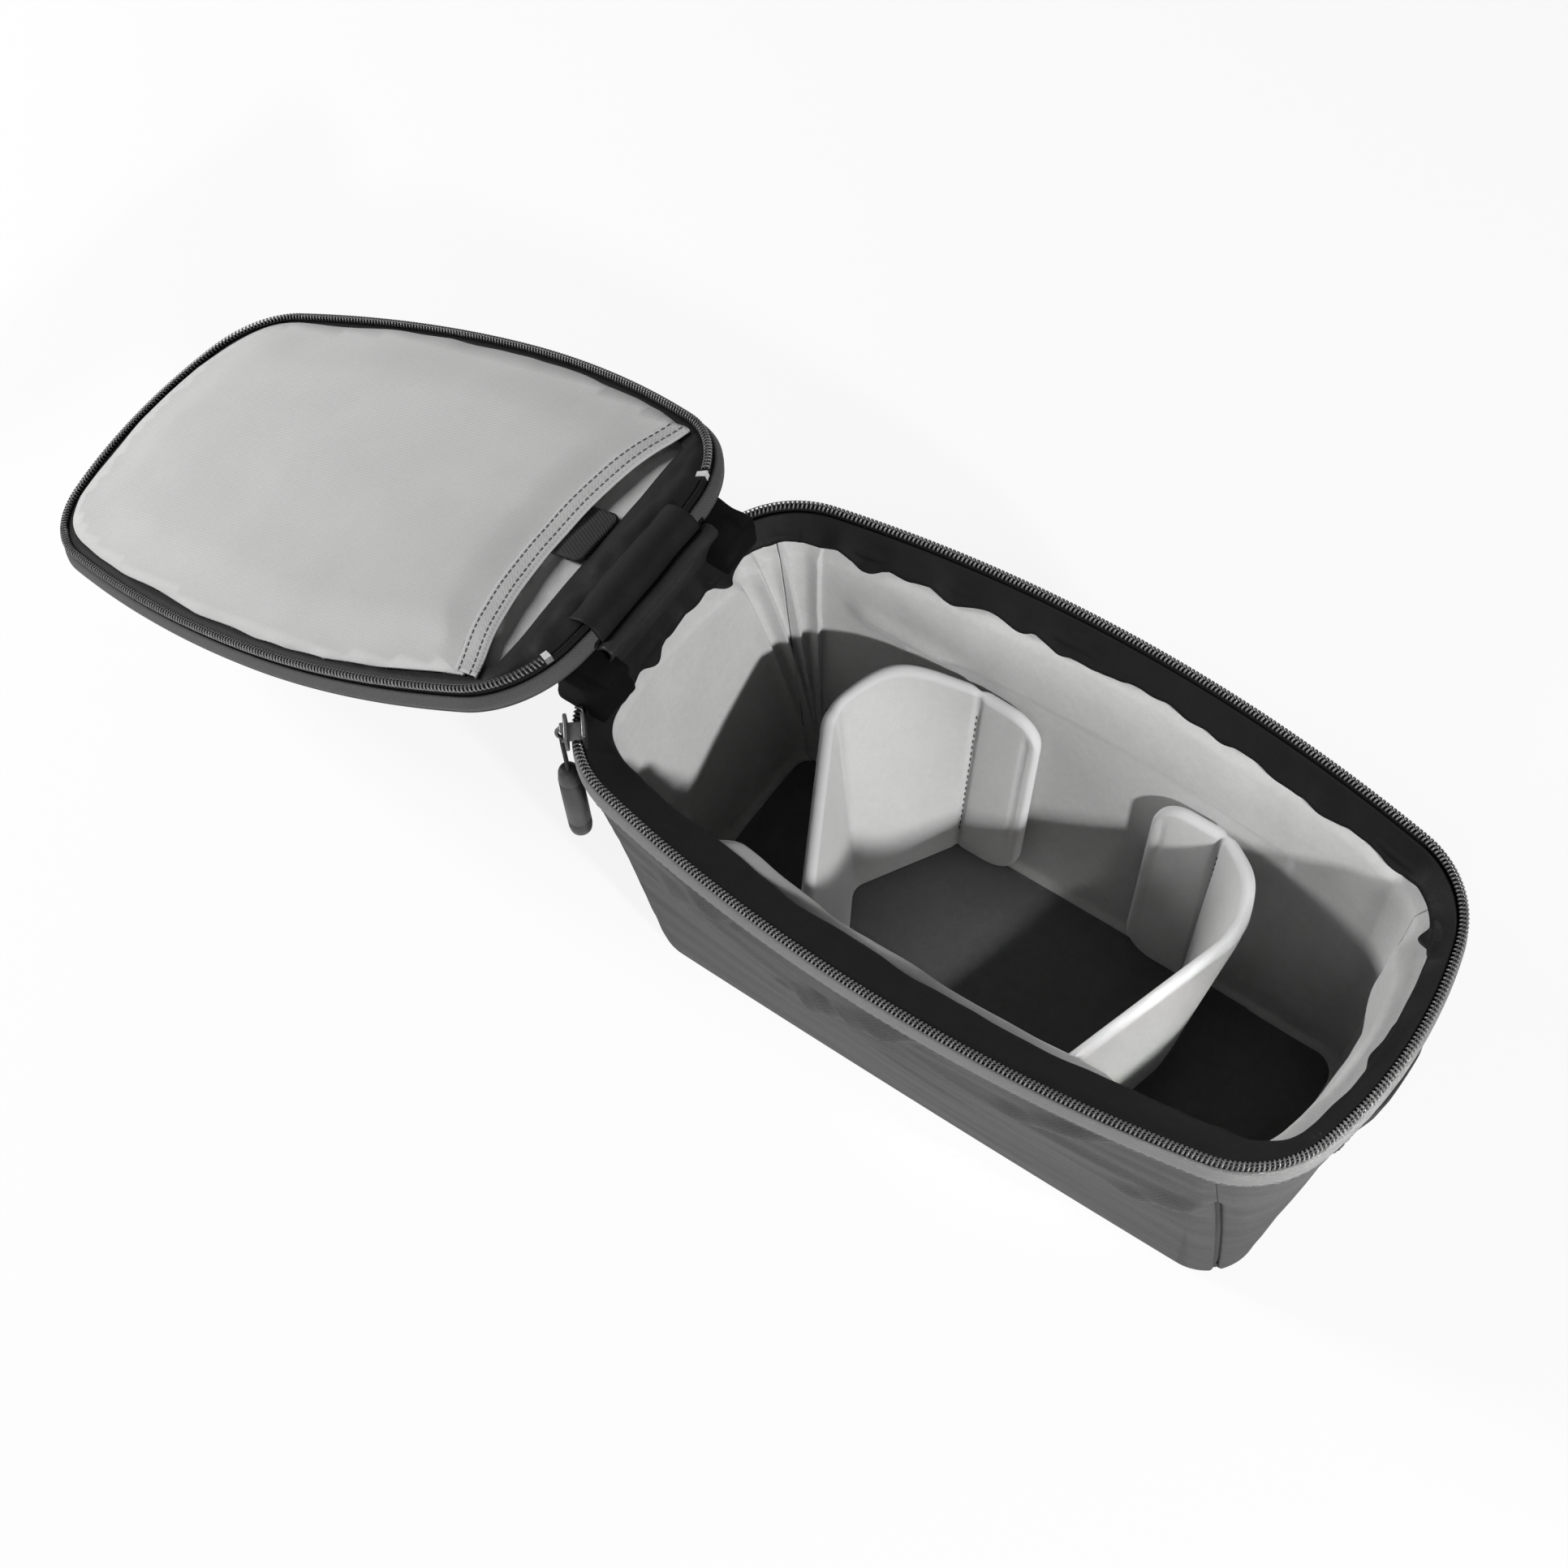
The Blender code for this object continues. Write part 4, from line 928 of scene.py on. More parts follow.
lining_velour = velour("lining_velour", grey(0.42, 0.004), grey(0.58, 0.004))
lining_heights = np.concatenate([FLOOR_TOP + LINING_FOOT_ROWS,
                                 np.linspace(LINING_FIRST_ROW, LINING_TOP, LINING_ROWS)])[::-1]
for side, (first, last) in PANELS.items():
    stations = np.linspace(first + LINING_GAP_STATIONS, last - LINING_GAP_STATIONS,
                           int((last - first) * LINING_COLUMNS[side]))
    stations, heights = np.meshgrid(stations, lining_heights)
    inset = LINING_FACE + lining_bulge(stations, heights, wall(stations, LINING_FACE, heights))
    flat, area = trapezoid(first, last, FLOOR_TOP, LINING_TOP)
    cloth(cloth_strip(f"{side}_velour", wall(stations, inset, heights)), LINING,
          (lining_velour, "tub", "lining"), [f"{side}_lining"], flat, f"{side}_pad", area=area)

# Collar
# A black nylon facing, caught in the rim's seam. It is loose: it leans in over the padding, most at
# the front, and its hem is wavy and ragged.
COLLAR = 0.7 * MM
COLLAR_TOP = 138.6 * MM
COLLAR_FLAT_WIDTH = 16.0 * MM
COLLAR_LEAN_MM = (14.0, 6.0, 6.4, 5.6)
COLLAR_DROP_MM = (8.0, 7.6, 8.4, 8.6)
COLLAR_ROWS = 15
COLLAR_TOP_INSET, COLLAR_MIDDLE_INSET = 1.3 * MM, 2.0 * MM
COLLAR_CLEAR = 0.5 * MM
COLLAR_OVERLAP = 2.0 * MM
RUFFLE_DEPTH = 1.2 * MM
HEM_WAVE = 2.6 * MM
HEM_TURN_MM = (0.5, 1.0, 1.5)
FINE_RING = np.arange(4 * QUARTER * STEPS * 2) / (2 * STEPS)


def nylon(name, shade, sheen_roughness=0.45, crinkle_mm=0.35):
    """Thin black nylon with fine crinkles."""
    paint = Paint(name, sheen_roughness, Specular_IOR_Level=0.09)
    crinkle = paint.cloud((110.0, 110.0, 160.0), 4.0)
    ripple = paint.grain(420.0)
    paint.colour(crinkle * 0.7 + ripple * 0.3, grey(shade * 0.6), grey(shade * 1.5))
    paint.bump(crinkle * crinkle_mm + ripple * 0.1)
    return paint


def by_side(station, values_mm):
    """A length at stations, from those for the front, free end, back and hinge end."""
    return sum(share * value * MM for share, value in zip(side_weights(station), values_mm))


def over_lining(inset, level):
    """Places on the collar, kept just over the lining where the two overlap."""
    covered = np.minimum(level, LINING_TOP)
    bulge = lining_bulge(FINE_RING, covered, wall(FINE_RING, LINING_FACE, covered))
    overlap = eased((LINING_TOP + COLLAR_OVERLAP - level) / COLLAR_OVERLAP)
    lowest = overlap * (LINING_FACE + bulge + COLLAR + COLLAR_CLEAR)
    return wall(FINE_RING, np.maximum(inset, lowest), level)


black_nylon = nylon("black_nylon", 0.0075, 0.55)
on_rim = wall(FINE_RING, 0.0, RIM_HEIGHT)
ruffle = lumps(on_rim, (34.0, 34.0, 1.0), 5.0) + 0.5 * lumps(on_rim, (80.0, 80.0, 1.0), 2.0)
scallop = lumps(on_rim, (42.0, 42.0, 1.0), 11.0) + 0.6 * lumps(on_rim, (110.0, 110.0, 1.0), 21.0)
jag = 2.4 * np.abs(lumps(on_rim, (55.0, 55.0, 1.0), 31.0)) - 0.5
lean = by_side(FINE_RING, COLLAR_LEAN_MM)
drop = by_side(FINE_RING, COLLAR_DROP_MM)
drop = drop + HEM_WAVE * (scallop + jag) * (1 - 0.7 * side_weights(FINE_RING)[0])
collar_rows = []
for share in np.linspace(0.0, 1.0, COLLAR_ROWS):
    bend = 2 * share * (1 - share)
    inset = (1 - share) ** 2 * COLLAR_TOP_INSET + bend * (COLLAR_MIDDLE_INSET + 0.35 * lean)
    inset = inset + share ** 2 * lean + ruffle * RUFFLE_DEPTH * share ** 2
    level = COLLAR_TOP - bend * 0.62 * drop - share ** 2 * drop
    collar_rows.append(over_lining(inset, level))
for extra in HEM_TURN_MM:
    collar_rows.append(over_lining(inset + (0.4 + 0.15 * extra) * MM, level - extra * MM))
collar = cloth_strip("inner_collar", collar_rows, closed=True)
collar.data.flip_normals()
cloth(collar, COLLAR, (black_nylon, "tub", "black_fabric"), ["rim_collar"], (rim_length, COLLAR_FLAT_WIDTH),
      "zip_tape_band", held="hung")

# Floor lining
# The floor pad's felt cover, raised a little over the padding; its dark grey is painted shade for the
# shadow on the floor. A sewn line runs just inside its edge.
FLOOR_INSET = 7.6 * MM
FLOOR_LINING = 0.8 * MM
FLOOR_LAID = FLOOR_TOP - 0.4 * MM
FLOOR_CUT_STEP = 3.5 * MM
FLOOR_RISE, FLOOR_RISE_WIDTH = 0.6 * MM, 12.0 * MM
FLOOR_LINE_DEPTH, FLOOR_LINE_INSET, FLOOR_LINE_WIDTH = 1.0 * MM, 10.0 * MM, 2.2 * MM
FLOOR_FLAT = (239.0 * MM, 91.8 * MM)


def floor_place(flat, edge):
    line = FLOOR_LINE_DEPTH * hump(edge - FLOOR_LINE_INSET, FLOOR_LINE_WIDTH)
    return np.column_stack([flat, FLOOR_LAID + FLOOR_RISE * eased(edge / FLOOR_RISE_WIDTH) - line])


floor_loop = wall(WHOLE_RING[::2], FLOOR_INSET, FLOOR_TOP)[:, :2]
# Dark grey felt: painted shade for the shadow that falls on the floor.
floor_velour_painted_dark = velour("floor_velour_painted_dark", grey(0.052), grey(0.092))
cloth(cut_sheet("floor_velour_painted_dark", floor_loop, FLOOR_CUT_STEP, floor_place), FLOOR_LINING,
      (floor_velour_painted_dark, "tub", "lining"), ["floor_lining"], FLOOR_FLAT, "base_pad", held="laid")

# Grab loop
# A strip of black webbing sewn to the free end with a box of stitches at each foot. Between them it
# stands off the panel a little.
LOOP_HALF = 28.0 * MM
LOOP_LOW = 102.0 * MM
LOOP_HIGH = 120.0 * MM
LOOP_STAND = 2.4 * MM
LOOP_RISE_END = LOOP_HALF - 6.3 * MM
LOOP_RISE_FADE = 13.0 * MM
LOOP_THICKNESS = 1.6 * MM
LOOP_FACE = FABRIC / 2 + 0.3 * MM + LOOP_THICKNESS
LOOP_FLAT_EXTRA = 6.0 * MM
LOOP_ROW_SHARES = np.array([0.0, 0.04, 0.12, 0.3, 0.5, 0.7, 0.88, 0.96, 1.0])
LOOP_EDGE_ROLL = np.array([0.45, 0.15, 0.0, 0.0, 0.0, 0.0, 0.0, 0.15, 0.45]) * MM
LOOP_BOX_SHARES = ((0.04, 0.1), (0.04, 0.9), (0.26, 0.9), (0.26, 0.1), (0.04, 0.1))
LOOP_STITCH_LIFT = 0.12 * MM
FREE_STATIONS = np.linspace(-6.0, 6.0, 200)


def loop_points(across, height):
    """The outer face of the loop at places along it."""
    stations = np.interp(across, wall(FREE_STATIONS, 0.0, LOOP_HIGH)[:, 1], FREE_STATIONS)
    lift = LOOP_STAND * eased((LOOP_RISE_END - np.abs(across)) / LOOP_RISE_FADE)
    return wall(stations, -LOOP_FACE - lift, height)


loop_across = np.linspace(-LOOP_HALF, LOOP_HALF, 61)
loop_rows = []
for share, roll in zip(LOOP_ROW_SHARES, LOOP_EDGE_ROLL):
    level = LOOP_LOW + (LOOP_HIGH - LOOP_LOW) * share
    loop_rows.append(loop_points(loop_across, np.full(len(loop_across), level)) - np.array((roll, 0.0, 0.0)))
cloth(cloth_strip("webbing_loop", loop_rows), LOOP_THICKNESS,
      (webbing("loop_webbing", 0.022, 1.6), "tub", "black_fabric"), ["grab_loop"],
      (2 * LOOP_HALF + LOOP_FLAT_EXTRA, LOOP_HIGH - LOOP_LOW), "free_end_panel")
for name, sign in (("front", -1), ("back", 1)):
    box = np.array([(sign * LOOP_HALF * (1 - share_y), LOOP_LOW + (LOOP_HIGH - LOOP_LOW) * share_z)
                    for share_y, share_z in LOOP_BOX_SHARES])
    box = np.vstack([np.linspace(start, end, 12)[:-1] for start, end in zip(box[:-1], box[1:])])
    line = loop_points(box[:, 0], box[:, 1]) + np.array((LOOP_STITCH_LIFT, 0.0, 0.0))
    box_stitches = stitch_row(f"loop_stitches_{name}", line, np.tile((1.0, 0.0, 0.0), (len(line), 1)),
                              closed=True)
    finish(box_stitches, black_thread, "tub", "black_fabric")

# Lid coil, tape and band
# The lid's half of the zip on its own woven tape, and the dark folded band that edges the lid. All are
# laid out on the closed lid and swung open about the hinge.
HINGE = np.array((-136.7, 0.0, 154.9)) * MM
OPEN_TURN = math.radians(-202.6)
LID_COIL_CENTRE = 144.9 * MM
LID_TAPE_LOW = 145.6 * MM
LID_TAPE_HIGH = 151.8 * MM
LID_TAPE_FLAT_WIDTH = 11.0 * MM
LID_BAND_LOW = 147.8 * MM
LID_BAND_HIGH = 154.2 * MM
LID_BAND_FLAT_SHARE = 1.45


def turn_open(vectors):
    """Directions on the closed lid, turned as the lid lies open."""
    x, y, z = np.moveaxis(np.asarray(vectors, float), -1, 0)
    cosine, sine = math.cos(OPEN_TURN), math.sin(OPEN_TURN)
    return np.stack([x * cosine + z * sine, y, -x * sine + z * cosine], axis=-1)


def lay_open(points):
    """Places on the closed lid, swung to where the lid rests."""
    return HINGE + turn_open(np.asarray(points, float) - HINGE)


def closed_lid(station, inset, height):
    """Places round the closed lid, moved in from its outline, at a height."""
    station, inset, height = np.broadcast_arrays(np.asarray(station, float), inset, height)
    flat, outward = on_ring(LID_RING, station)
    return np.concatenate([flat - outward * inset[..., None], height[..., None]], axis=-1)


def lid_edge(station, inset, height):
    """Places round the open lid."""
    return lay_open(closed_lid(station, inset, height))


zip_half("lid", "lid_coil_thread", "lid_zip_chain", "lid", lid_edge, LID_COIL_CENTRE,
         turn_open(upright(on_ring(LID_RING, CHAIN_STATIONS)[1])),
         turn_open(np.tile((0.0, 0.0, -1.0), (len(CHAIN_STATIONS), 1))), -1)
lid_tape_levels = np.linspace(LID_TAPE_LOW, LID_TAPE_HIGH, 4)
lid_tape_rows = [lid_edge(WHOLE_RING, -TAPE / 2, level) for level in lid_tape_levels]
cloth(cloth_strip("lid_tape_band", lid_tape_rows, closed=True), TAPE, (tape_cloth, "lid", "black_fabric"),
      ["lid_zip_tape"], (rim_length, LID_TAPE_FLAT_WIDTH), "lid_gusset",
      area=rim_length * (LID_TAPE_HIGH - LID_TAPE_LOW))
lid_band_cloth = woven_cloth("lid_band_cloth", grey(0.050), grey(0.085), 0.7, streak=0.35)
lid_band_rows = band_rows(lid_edge, LID_BAND_LOW, LID_BAND_HIGH)
lid_depth = LID_BAND_HIGH - LID_BAND_LOW
cloth(cloth_strip("lid_gusset", lid_band_rows, closed=True, rounded=True), 0.0,
      (lid_band_cloth, "lid", "band_fabric"), ["lid_band"], (rim_length, 2 * lid_depth), "lid_tape_band",
      area=rim_length * lid_depth * LID_BAND_FLAT_SHARE)

# End stops
# Small metal stops beside both ends of the lid's coil, crimped on the tape. The frame's own solids are
# shown, in bare metal.
metal = Paint("stop_metal", 0.28, Metallic=1.0)
drawn = metal.cloud((900.0, 900.0, 120.0), 2.0)
metal.colour(drawn, grey(0.32), grey(0.62))
metal.bump(drawn * 0.02)
for node in ("lid_zip_stop_front", "lid_zip_stop_back"):
    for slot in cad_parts[node].material_slots:
        slot.material = metal.material
    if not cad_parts[node].material_slots:
        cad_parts[node].data.materials.append(metal.material)

# Lid outside
# The same woven cloth as the panels, pulled over the lid's foam. It is crowned, a little rumpled and
# falls away at its edge.
LID_TOP = 155.5 * MM
LID_CROWN, LID_CROWN_WIDTH = 2.6 * MM, 34.0 * MM
LID_EDGE_FALL, LID_EDGE_FALL_WIDTH = 0.9 * MM, 2.5 * MM
LID_RUMPLE, LID_RUMPLE_INSET = 0.5 * MM, 8.0 * MM
LID_FABRIC_OUT = 2.2 * MM
LID_CUT_STEP = 6.0 * MM
LID_COVER_FLAT = (279.0 * MM, 163.0 * MM)
LID_COVER_AREA = 0.0415


def crown_place(flat, edge):
    rise = LID_CROWN * eased(edge / LID_CROWN_WIDTH)
    rise = rise - LID_EDGE_FALL * (1 - np.clip(edge / LID_EDGE_FALL_WIDTH, 0, 1)) ** 2
    rumple = LID_RUMPLE * lumps(upright(flat), (16.0, 28.0, 1.0)) * eased(edge / LID_RUMPLE_INSET)
    return lay_open(np.column_stack([flat, LID_TOP + rise + rumple]))


lid_loop = closed_lid(WHOLE_RING[::2], -LID_FABRIC_OUT, 0.0)[:, :2]
cloth(cut_sheet("lid_cover", lid_loop, LID_CUT_STEP, crown_place), FABRIC,
      (outer_cloth, "lid", "outer_fabric"), ["lid_fabric"], LID_COVER_FLAT, "lid_pad", area=LID_COVER_AREA)

# Lid lining
# Pale brushed cloth on the inner side of the lid's foam, seen through the pocket's mouth. It rises
# behind the mouth.
LID_LINING_LEVEL = 149.4 * MM
LID_LINING_INSET = 0.9 * MM
LID_LINING_FALL, LID_LINING_FALL_WIDTH = 0.5 * MM, 20.0 * MM
LID_LINING_FLAT = (272.0 * MM, 156.6 * MM)
LID_LINING_AREA = 0.0385
LID_HINGE_X = -128.0 * MM
MOUTH_SIDE = 17.5 * MM
MOUTH_SCOOP = 18.5 * MM
MOUTH_HALF = 74.8 * MM
MOUTH_PUFF, MOUTH_PUFF_WIDTH, MOUTH_PUFF_PAST = 4.4 * MM, 9.0 * MM, 2.0 * MM
MOUTH_PUFF_HALF, MOUTH_PUFF_FADE = 62.0 * MM, 20.0 * MM


def mouth_x(across):
    """X of the pocket's mouth on the closed lid."""
    return LID_HINGE_X + MOUTH_SIDE + MOUTH_SCOOP * (1 - (np.asarray(across) / MOUTH_HALF) ** 2)


def backing_place(flat, edge):
    behind = flat[:, 0] - mouth_x(flat[:, 1]) - MOUTH_PUFF_PAST
    puff = MOUTH_PUFF * hump(behind, MOUTH_PUFF_WIDTH)
    puff = puff * eased((MOUTH_PUFF_HALF - np.abs(flat[:, 1])) / MOUTH_PUFF_FADE)
    fall = LID_LINING_FALL * eased(edge / LID_LINING_FALL_WIDTH)
    return lay_open(np.column_stack([flat, LID_LINING_LEVEL - fall - puff]))


backing_loop = closed_lid(WHOLE_RING[::2], LID_LINING_INSET, 0.0)[:, :2]
backing_velour = velour("backing_velour", grey(0.50, 0.004), grey(0.68, 0.004))
cloth(cut_sheet("lid_backing", backing_loop, LID_CUT_STEP, backing_place, under=True), LINING,
      (backing_velour, "lid", "lining"), ["lid_lining"], LID_LINING_FLAT, "lid_pad", area=LID_LINING_AREA)

# Lid border
# A black nylon facing, sewn in inside the zip. At the hinge it is wide and crinkled, and a second
# piece wraps the lid's edge.
LID_PLANE = 143.8 * MM
BORDER_WIDTH = 9.0 * MM
BORDER_FLAT_WIDTH = 13.0 * MM
BORDER_ROWS = 15
BORDER_LEVEL, BORDER_FALL, BORDER_FALL_SHARE = 146.8 * MM, 1.0 * MM, 1 / 3
BORDER_EDGE_X, BORDER_EDGE_FADE = -107.0 * MM, 12.0 * MM
BORDER_EDGE_START = BORDER_EDGE_X + 3.0 * MM
BORDER_WAVE = 1.6 * MM
BORDER_SWELL, BORDER_HINGE_SWELL, BORDER_CRINKLE = 0.1 * MM, 1.6 * MM, 1.3 * MM
WRAP_HALF = 27.5 * MM
WRAP_COLUMNS = 69
WRAP_FLAT = (55.0 * MM, 24.0 * MM)
WRAP_WAVE, WRAP_CRINKLE = 0.9 * MM, 0.6 * MM
WRAP_PATH = np.array([(-119.0, 144.9), (-122.5, 143.9), (-126.5, 143.4), (-129.6, 144.2), (-131.4, 146.4),
                      (-132.0, 149.0), (-132.0, 152.0), (-131.4, 154.6), (-129.6, 156.6), (-127.0, 157.2)]) * MM


def across_rows(path, half, columns):
    """Rows across the lid, one at each X and Z of a path."""
    across = np.linspace(-half, half, columns)
    return [np.column_stack([np.full(columns, x), across, np.full(columns, z)]) for x, z in path]


outer_border = closed_lid(FINE_RING, LID_LINING_INSET, 0.0)
inner_border = closed_lid(FINE_RING, BORDER_WIDTH, 0.0)
wide = np.clip((BORDER_EDGE_START - inner_border[:, 0]) / BORDER_EDGE_FADE, 0.0, 1.0)
edge_x = BORDER_EDGE_X + BORDER_WAVE * lumps(inner_border, (1.0, 38.0, 1.0), 12.0)
inner_border[:, 0] = np.where(wide > 0, np.maximum(inner_border[:, 0], edge_x), inner_border[:, 0])
border_rows = []
for share in np.linspace(0.0, 1.0, BORDER_ROWS):
    row = outer_border * (1 - share) + inner_border * share
    crinkle = lumps(row, (90.0, 45.0, 1.0), 3.0) + 0.6 * lumps(row, (200.0, 110.0, 1.0), 8.0)
    arch = math.sin(share * math.pi)
    row[:, 2] = BORDER_LEVEL - BORDER_FALL * min(1.0, share / BORDER_FALL_SHARE)
    row[:, 2] -= arch * (BORDER_SWELL + BORDER_HINGE_SWELL * wide)
    row[:, 2] += BORDER_CRINKLE * crinkle * arch * (0.15 + wide)
    border_rows.append(lay_open(row))
cloth(cloth_strip("lid_facing", border_rows, closed=True), COLLAR, (black_nylon, "lid", "black_fabric"),
      ["lid_border"], (rim_length, BORDER_FLAT_WIDTH), "lid_tape_band", area=rim_length * BORDER_WIDTH)
wrap_rows = []
for row in across_rows(WRAP_PATH, WRAP_HALF, WRAP_COLUMNS):
    row[:, 0] += WRAP_WAVE * lumps(row, (1.0, 70.0, 160.0), 4.4)
    row[:, 2] += WRAP_CRINKLE * lumps(row, (60.0, 60.0, 60.0), 2.2)
    wrap_rows.append(lay_open(row))
cloth(cloth_strip("lid_edge_wrap", wrap_rows), COLLAR, (black_nylon, "lid", "black_fabric"), [], WRAP_FLAT,
      "lid_facing")

# Lid pocket
# A panel of pale stretch knit, sewn into the lid's edge all round but at the hinge. There its mouth is
# scooped, hemmed with two rows of stitches and slack.
POCKET = 0.8 * MM
POCKET_INSET = 4.4 * MM
POCKET_WOBBLE = 2.6 * MM
POCKET_CUT_STEP = 4.5 * MM
POCKET_PUFF, POCKET_PUFF_WIDTH = 2.2 * MM, 26.0 * MM
POCKET_PULL = 0.55 * MM
POCKET_PULL_WIDTH, POCKET_GATHER_WIDTH = 60.0 * MM, 7.0 * MM
POCKET_FLAT = (228.0 * MM, 149.6 * MM)
POCKET_AREA = 0.0310
POCKET_UNDER_HEM = 5.4 * MM
KNIT_RIB = 1.15 * MM
HEM_HALF = 60.5 * MM
HEM_FROM_EDGE = 60.8 * MM
HEM_EDGE_LEAST = 1.0 * MM
HEM_FLAT = (124.0 * MM, 12.5 * MM)
HEM_SECTION_MM = ((0.3, -0.9), (0.0, -0.4), (0.1, 0.0), (0.8, 0.3), (1.6, 0.2), (4.5, 0.45), (7.4, 0.25),
                  (8.2, 0.35), (8.9, 0.1), (9.1, -0.2))
HEM_STITCH_REACH = (1.6 * MM, 7.4 * MM)
HEM_STITCH_LIFT = 1.1 * MM
HEM_STITCH = {"length": 1.8 * MM, "gap": 0.7 * MM, "radius": 0.26 * MM}
pocket_knit = Paint("pocket_knit", 0.9, Sheen_Weight=0.15, Sheen_Roughness=0.5)
rib_turn = 2 * math.pi / KNIT_RIB
loop_place, rib_place, _ = pocket_knit.axes(pocket_knit.place((rib_turn, rib_turn, 1.0), True))
ribs, loops = rib_place.sine(), loop_place.sine()
knit_cloud = pocket_knit.cloud((26.0, 26.0, 26.0), 3.0, True)
pocket_knit.colour(ribs * 0.012 + loops * 0.012 + knit_cloud * 0.6 + pocket_knit.grain(1200.0) * 0.5 - 0.05,
                   grey(0.42, 0.004), grey(0.56, 0.004))
pocket_knit.bump(ribs * 0.01 + loops * 0.01 + knit_cloud * 0.3)
hem_knit = woven_cloth("hem_cloth", grey(0.38, 0.003), grey(0.50, 0.003), 0.8, 0.9, 0.04, 0.3)
hem_thread = thread_paint("hem_thread", 0.045)


def pocket_level(flat, edge):
    """Height of the pocket panel's visible face on the closed lid."""
    from_mouth = flat[:, 0] - mouth_x(flat[:, 1])
    pull = lumps(upright(flat), (14.0, 60.0, 1.0), 3.3) * hump(from_mouth, POCKET_PULL_WIDTH) * 1.5
    gather = lumps(upright(flat), (75.0, 75.0, 1.0), 6.6) * hump(edge, POCKET_GATHER_WIDTH) * 0.8
    return LID_PLANE - POCKET_PUFF * eased(edge / POCKET_PUFF_WIDTH) - POCKET_PULL * (pull + gather)


def pocket_place(flat, edge):
    return lay_open(np.column_stack([flat, pocket_level(flat, edge)]))


def along_mouth(reach, lift):
    """A line across the lid beside the pocket's mouth, lifted off the pocket's face."""
    across = np.linspace(-HEM_HALF, HEM_HALF, 96)
    flat = np.column_stack([mouth_x(across) + reach, across])
    edge = np.maximum(HEM_FROM_EDGE - np.abs(across), 0.0) + HEM_EDGE_LEAST
    return lay_open(np.column_stack([flat, pocket_level(flat, edge) - lift]))


pocket_ring = closed_lid(WHOLE_RING, POCKET_INSET, 0.0)[:, :2]
wobble = POCKET_WOBBLE * np.abs(lumps(upright(pocket_ring), (30.0, 30.0, 1.0), 5.5))
pocket_ring = pocket_ring - on_ring(LID_RING, WHOLE_RING)[1] * wobble[:, None]
beyond = pocket_ring[:, 0] > mouth_x(pocket_ring[:, 1]) + POCKET_UNDER_HEM
first_gone = np.argmin(beyond)
last_gone = len(beyond) - np.argmin(beyond[::-1])
scoop_y = np.linspace(pocket_ring[first_gone - 1, 1], pocket_ring[last_gone % len(beyond), 1], 60)[1:-1]
scoop = np.column_stack([mouth_x(scoop_y) + POCKET_UNDER_HEM, scoop_y])
pocket_loop = np.vstack([pocket_ring[:first_gone], scoop, pocket_ring[last_gone:]])
cloth(cut_sheet("pocket_panel", pocket_loop, POCKET_CUT_STEP, pocket_place, under=True), POCKET,
      (pocket_knit, "lid", "pocket_knit"), ["lid_pocket"], POCKET_FLAT, "lid_facing", area=POCKET_AREA)
hem_rows = [along_mouth(reach * MM, lift * MM) for reach, lift in HEM_SECTION_MM]
cloth(cloth_strip("pocket_hem", hem_rows[::-1]), POCKET, (hem_knit, "lid", "pocket_knit"), ["lid_pocket_hem"],
      HEM_FLAT, "pocket_panel")
for number, reach in enumerate(HEM_STITCH_REACH):
    line = along_mouth(reach, HEM_STITCH_LIFT)
    row = stitch_row(f"hem_stitches_{number}", line, np.tile(turn_open((0.0, 0.0, -1.0)), (len(line), 1)),
                     **HEM_STITCH)
    finish(row, hem_thread, "lid", "pocket_knit")

# Pocket tab
# A folded tab of black webbing to pull the pocket open. It is sewn under the hem and its free corners
# are cut off.
TAB = 1.0 * MM
TAB_Y = 7.0 * MM
TAB_HALF = 11.5 * MM
TAB_UNDER = 4.0 * MM
TAB_LENGTH = 18.0 * MM
TAB_LEVEL, TAB_FALL, TAB_CURL = 144.6 * MM, 0.7 * MM, 0.3 * MM
TAB_CUT, TAB_CUT_SHARE = 2.0 * MM, 0.12
TAB_COLUMNS = 17
tab_rows = []
tab_start = float(mouth_x(TAB_Y)) + TAB_UNDER
for share in np.linspace(0.0, 1.0, 12):
    half = TAB_HALF - TAB_CUT * max(0.0, share - 1 + TAB_CUT_SHARE) / TAB_CUT_SHARE
    across = np.linspace(-half, half, TAB_COLUMNS)
    level = TAB_LEVEL + TAB_FALL * share ** 2 + TAB_CURL * np.sin(across / TAB_HALF * 2.2)
    x = np.full(TAB_COLUMNS, tab_start - TAB_LENGTH * share)
    tab_rows.append(lay_open(np.column_stack([x, TAB_Y + across, level])))
tab = cloth_strip("pocket_tab", tab_rows[::-1])
tab.data.flip_normals()
cloth(tab, TAB, (webbing("tab_webbing", 0.030, 1.3), "lid", "black_fabric"), ["lid_pocket_tab"],
      (2 * TAB_HALF, TAB_LENGTH), "pocket_hem")

# Hinge flap
# One strip of black nylon joins the tub to the lid. It arches over the hinge's axis between two stuffed
# webbing garages for the zip's ends.
FLAP = 0.9 * MM
FLAP_HALF = 29.9 * MM
FLAP_LENGTH = 34.0 * MM
FLAP_COLUMNS = 61
FLAP_WAVE, FLAP_WAVE_LEVEL, FLAP_WAVE_FADE = 0.7 * MM, 133.0 * MM, 8.0 * MM
FLAP_PATH = np.array([(-143.0, 130.8), (-142.2, 135.0), (-141.3, 139.5), (-140.3, 143.5), (-139.3, 147.2),
                      (-138.2, 150.6), (-137.4, 153.0), (-136.9, 154.8), (-137.3, 156.2), (-138.4, 156.9),
                      (-139.8, 156.6), (-141.0, 155.6), (-142.0, 154.4), (-142.8, 153.2)]) * MM
GARAGE_GROWTH = np.array((12.0, 4.0, 8.0)) * MM
GARAGE_SHIFT = 1.2 * MM
GARAGE_DENT = 1.1 * MM
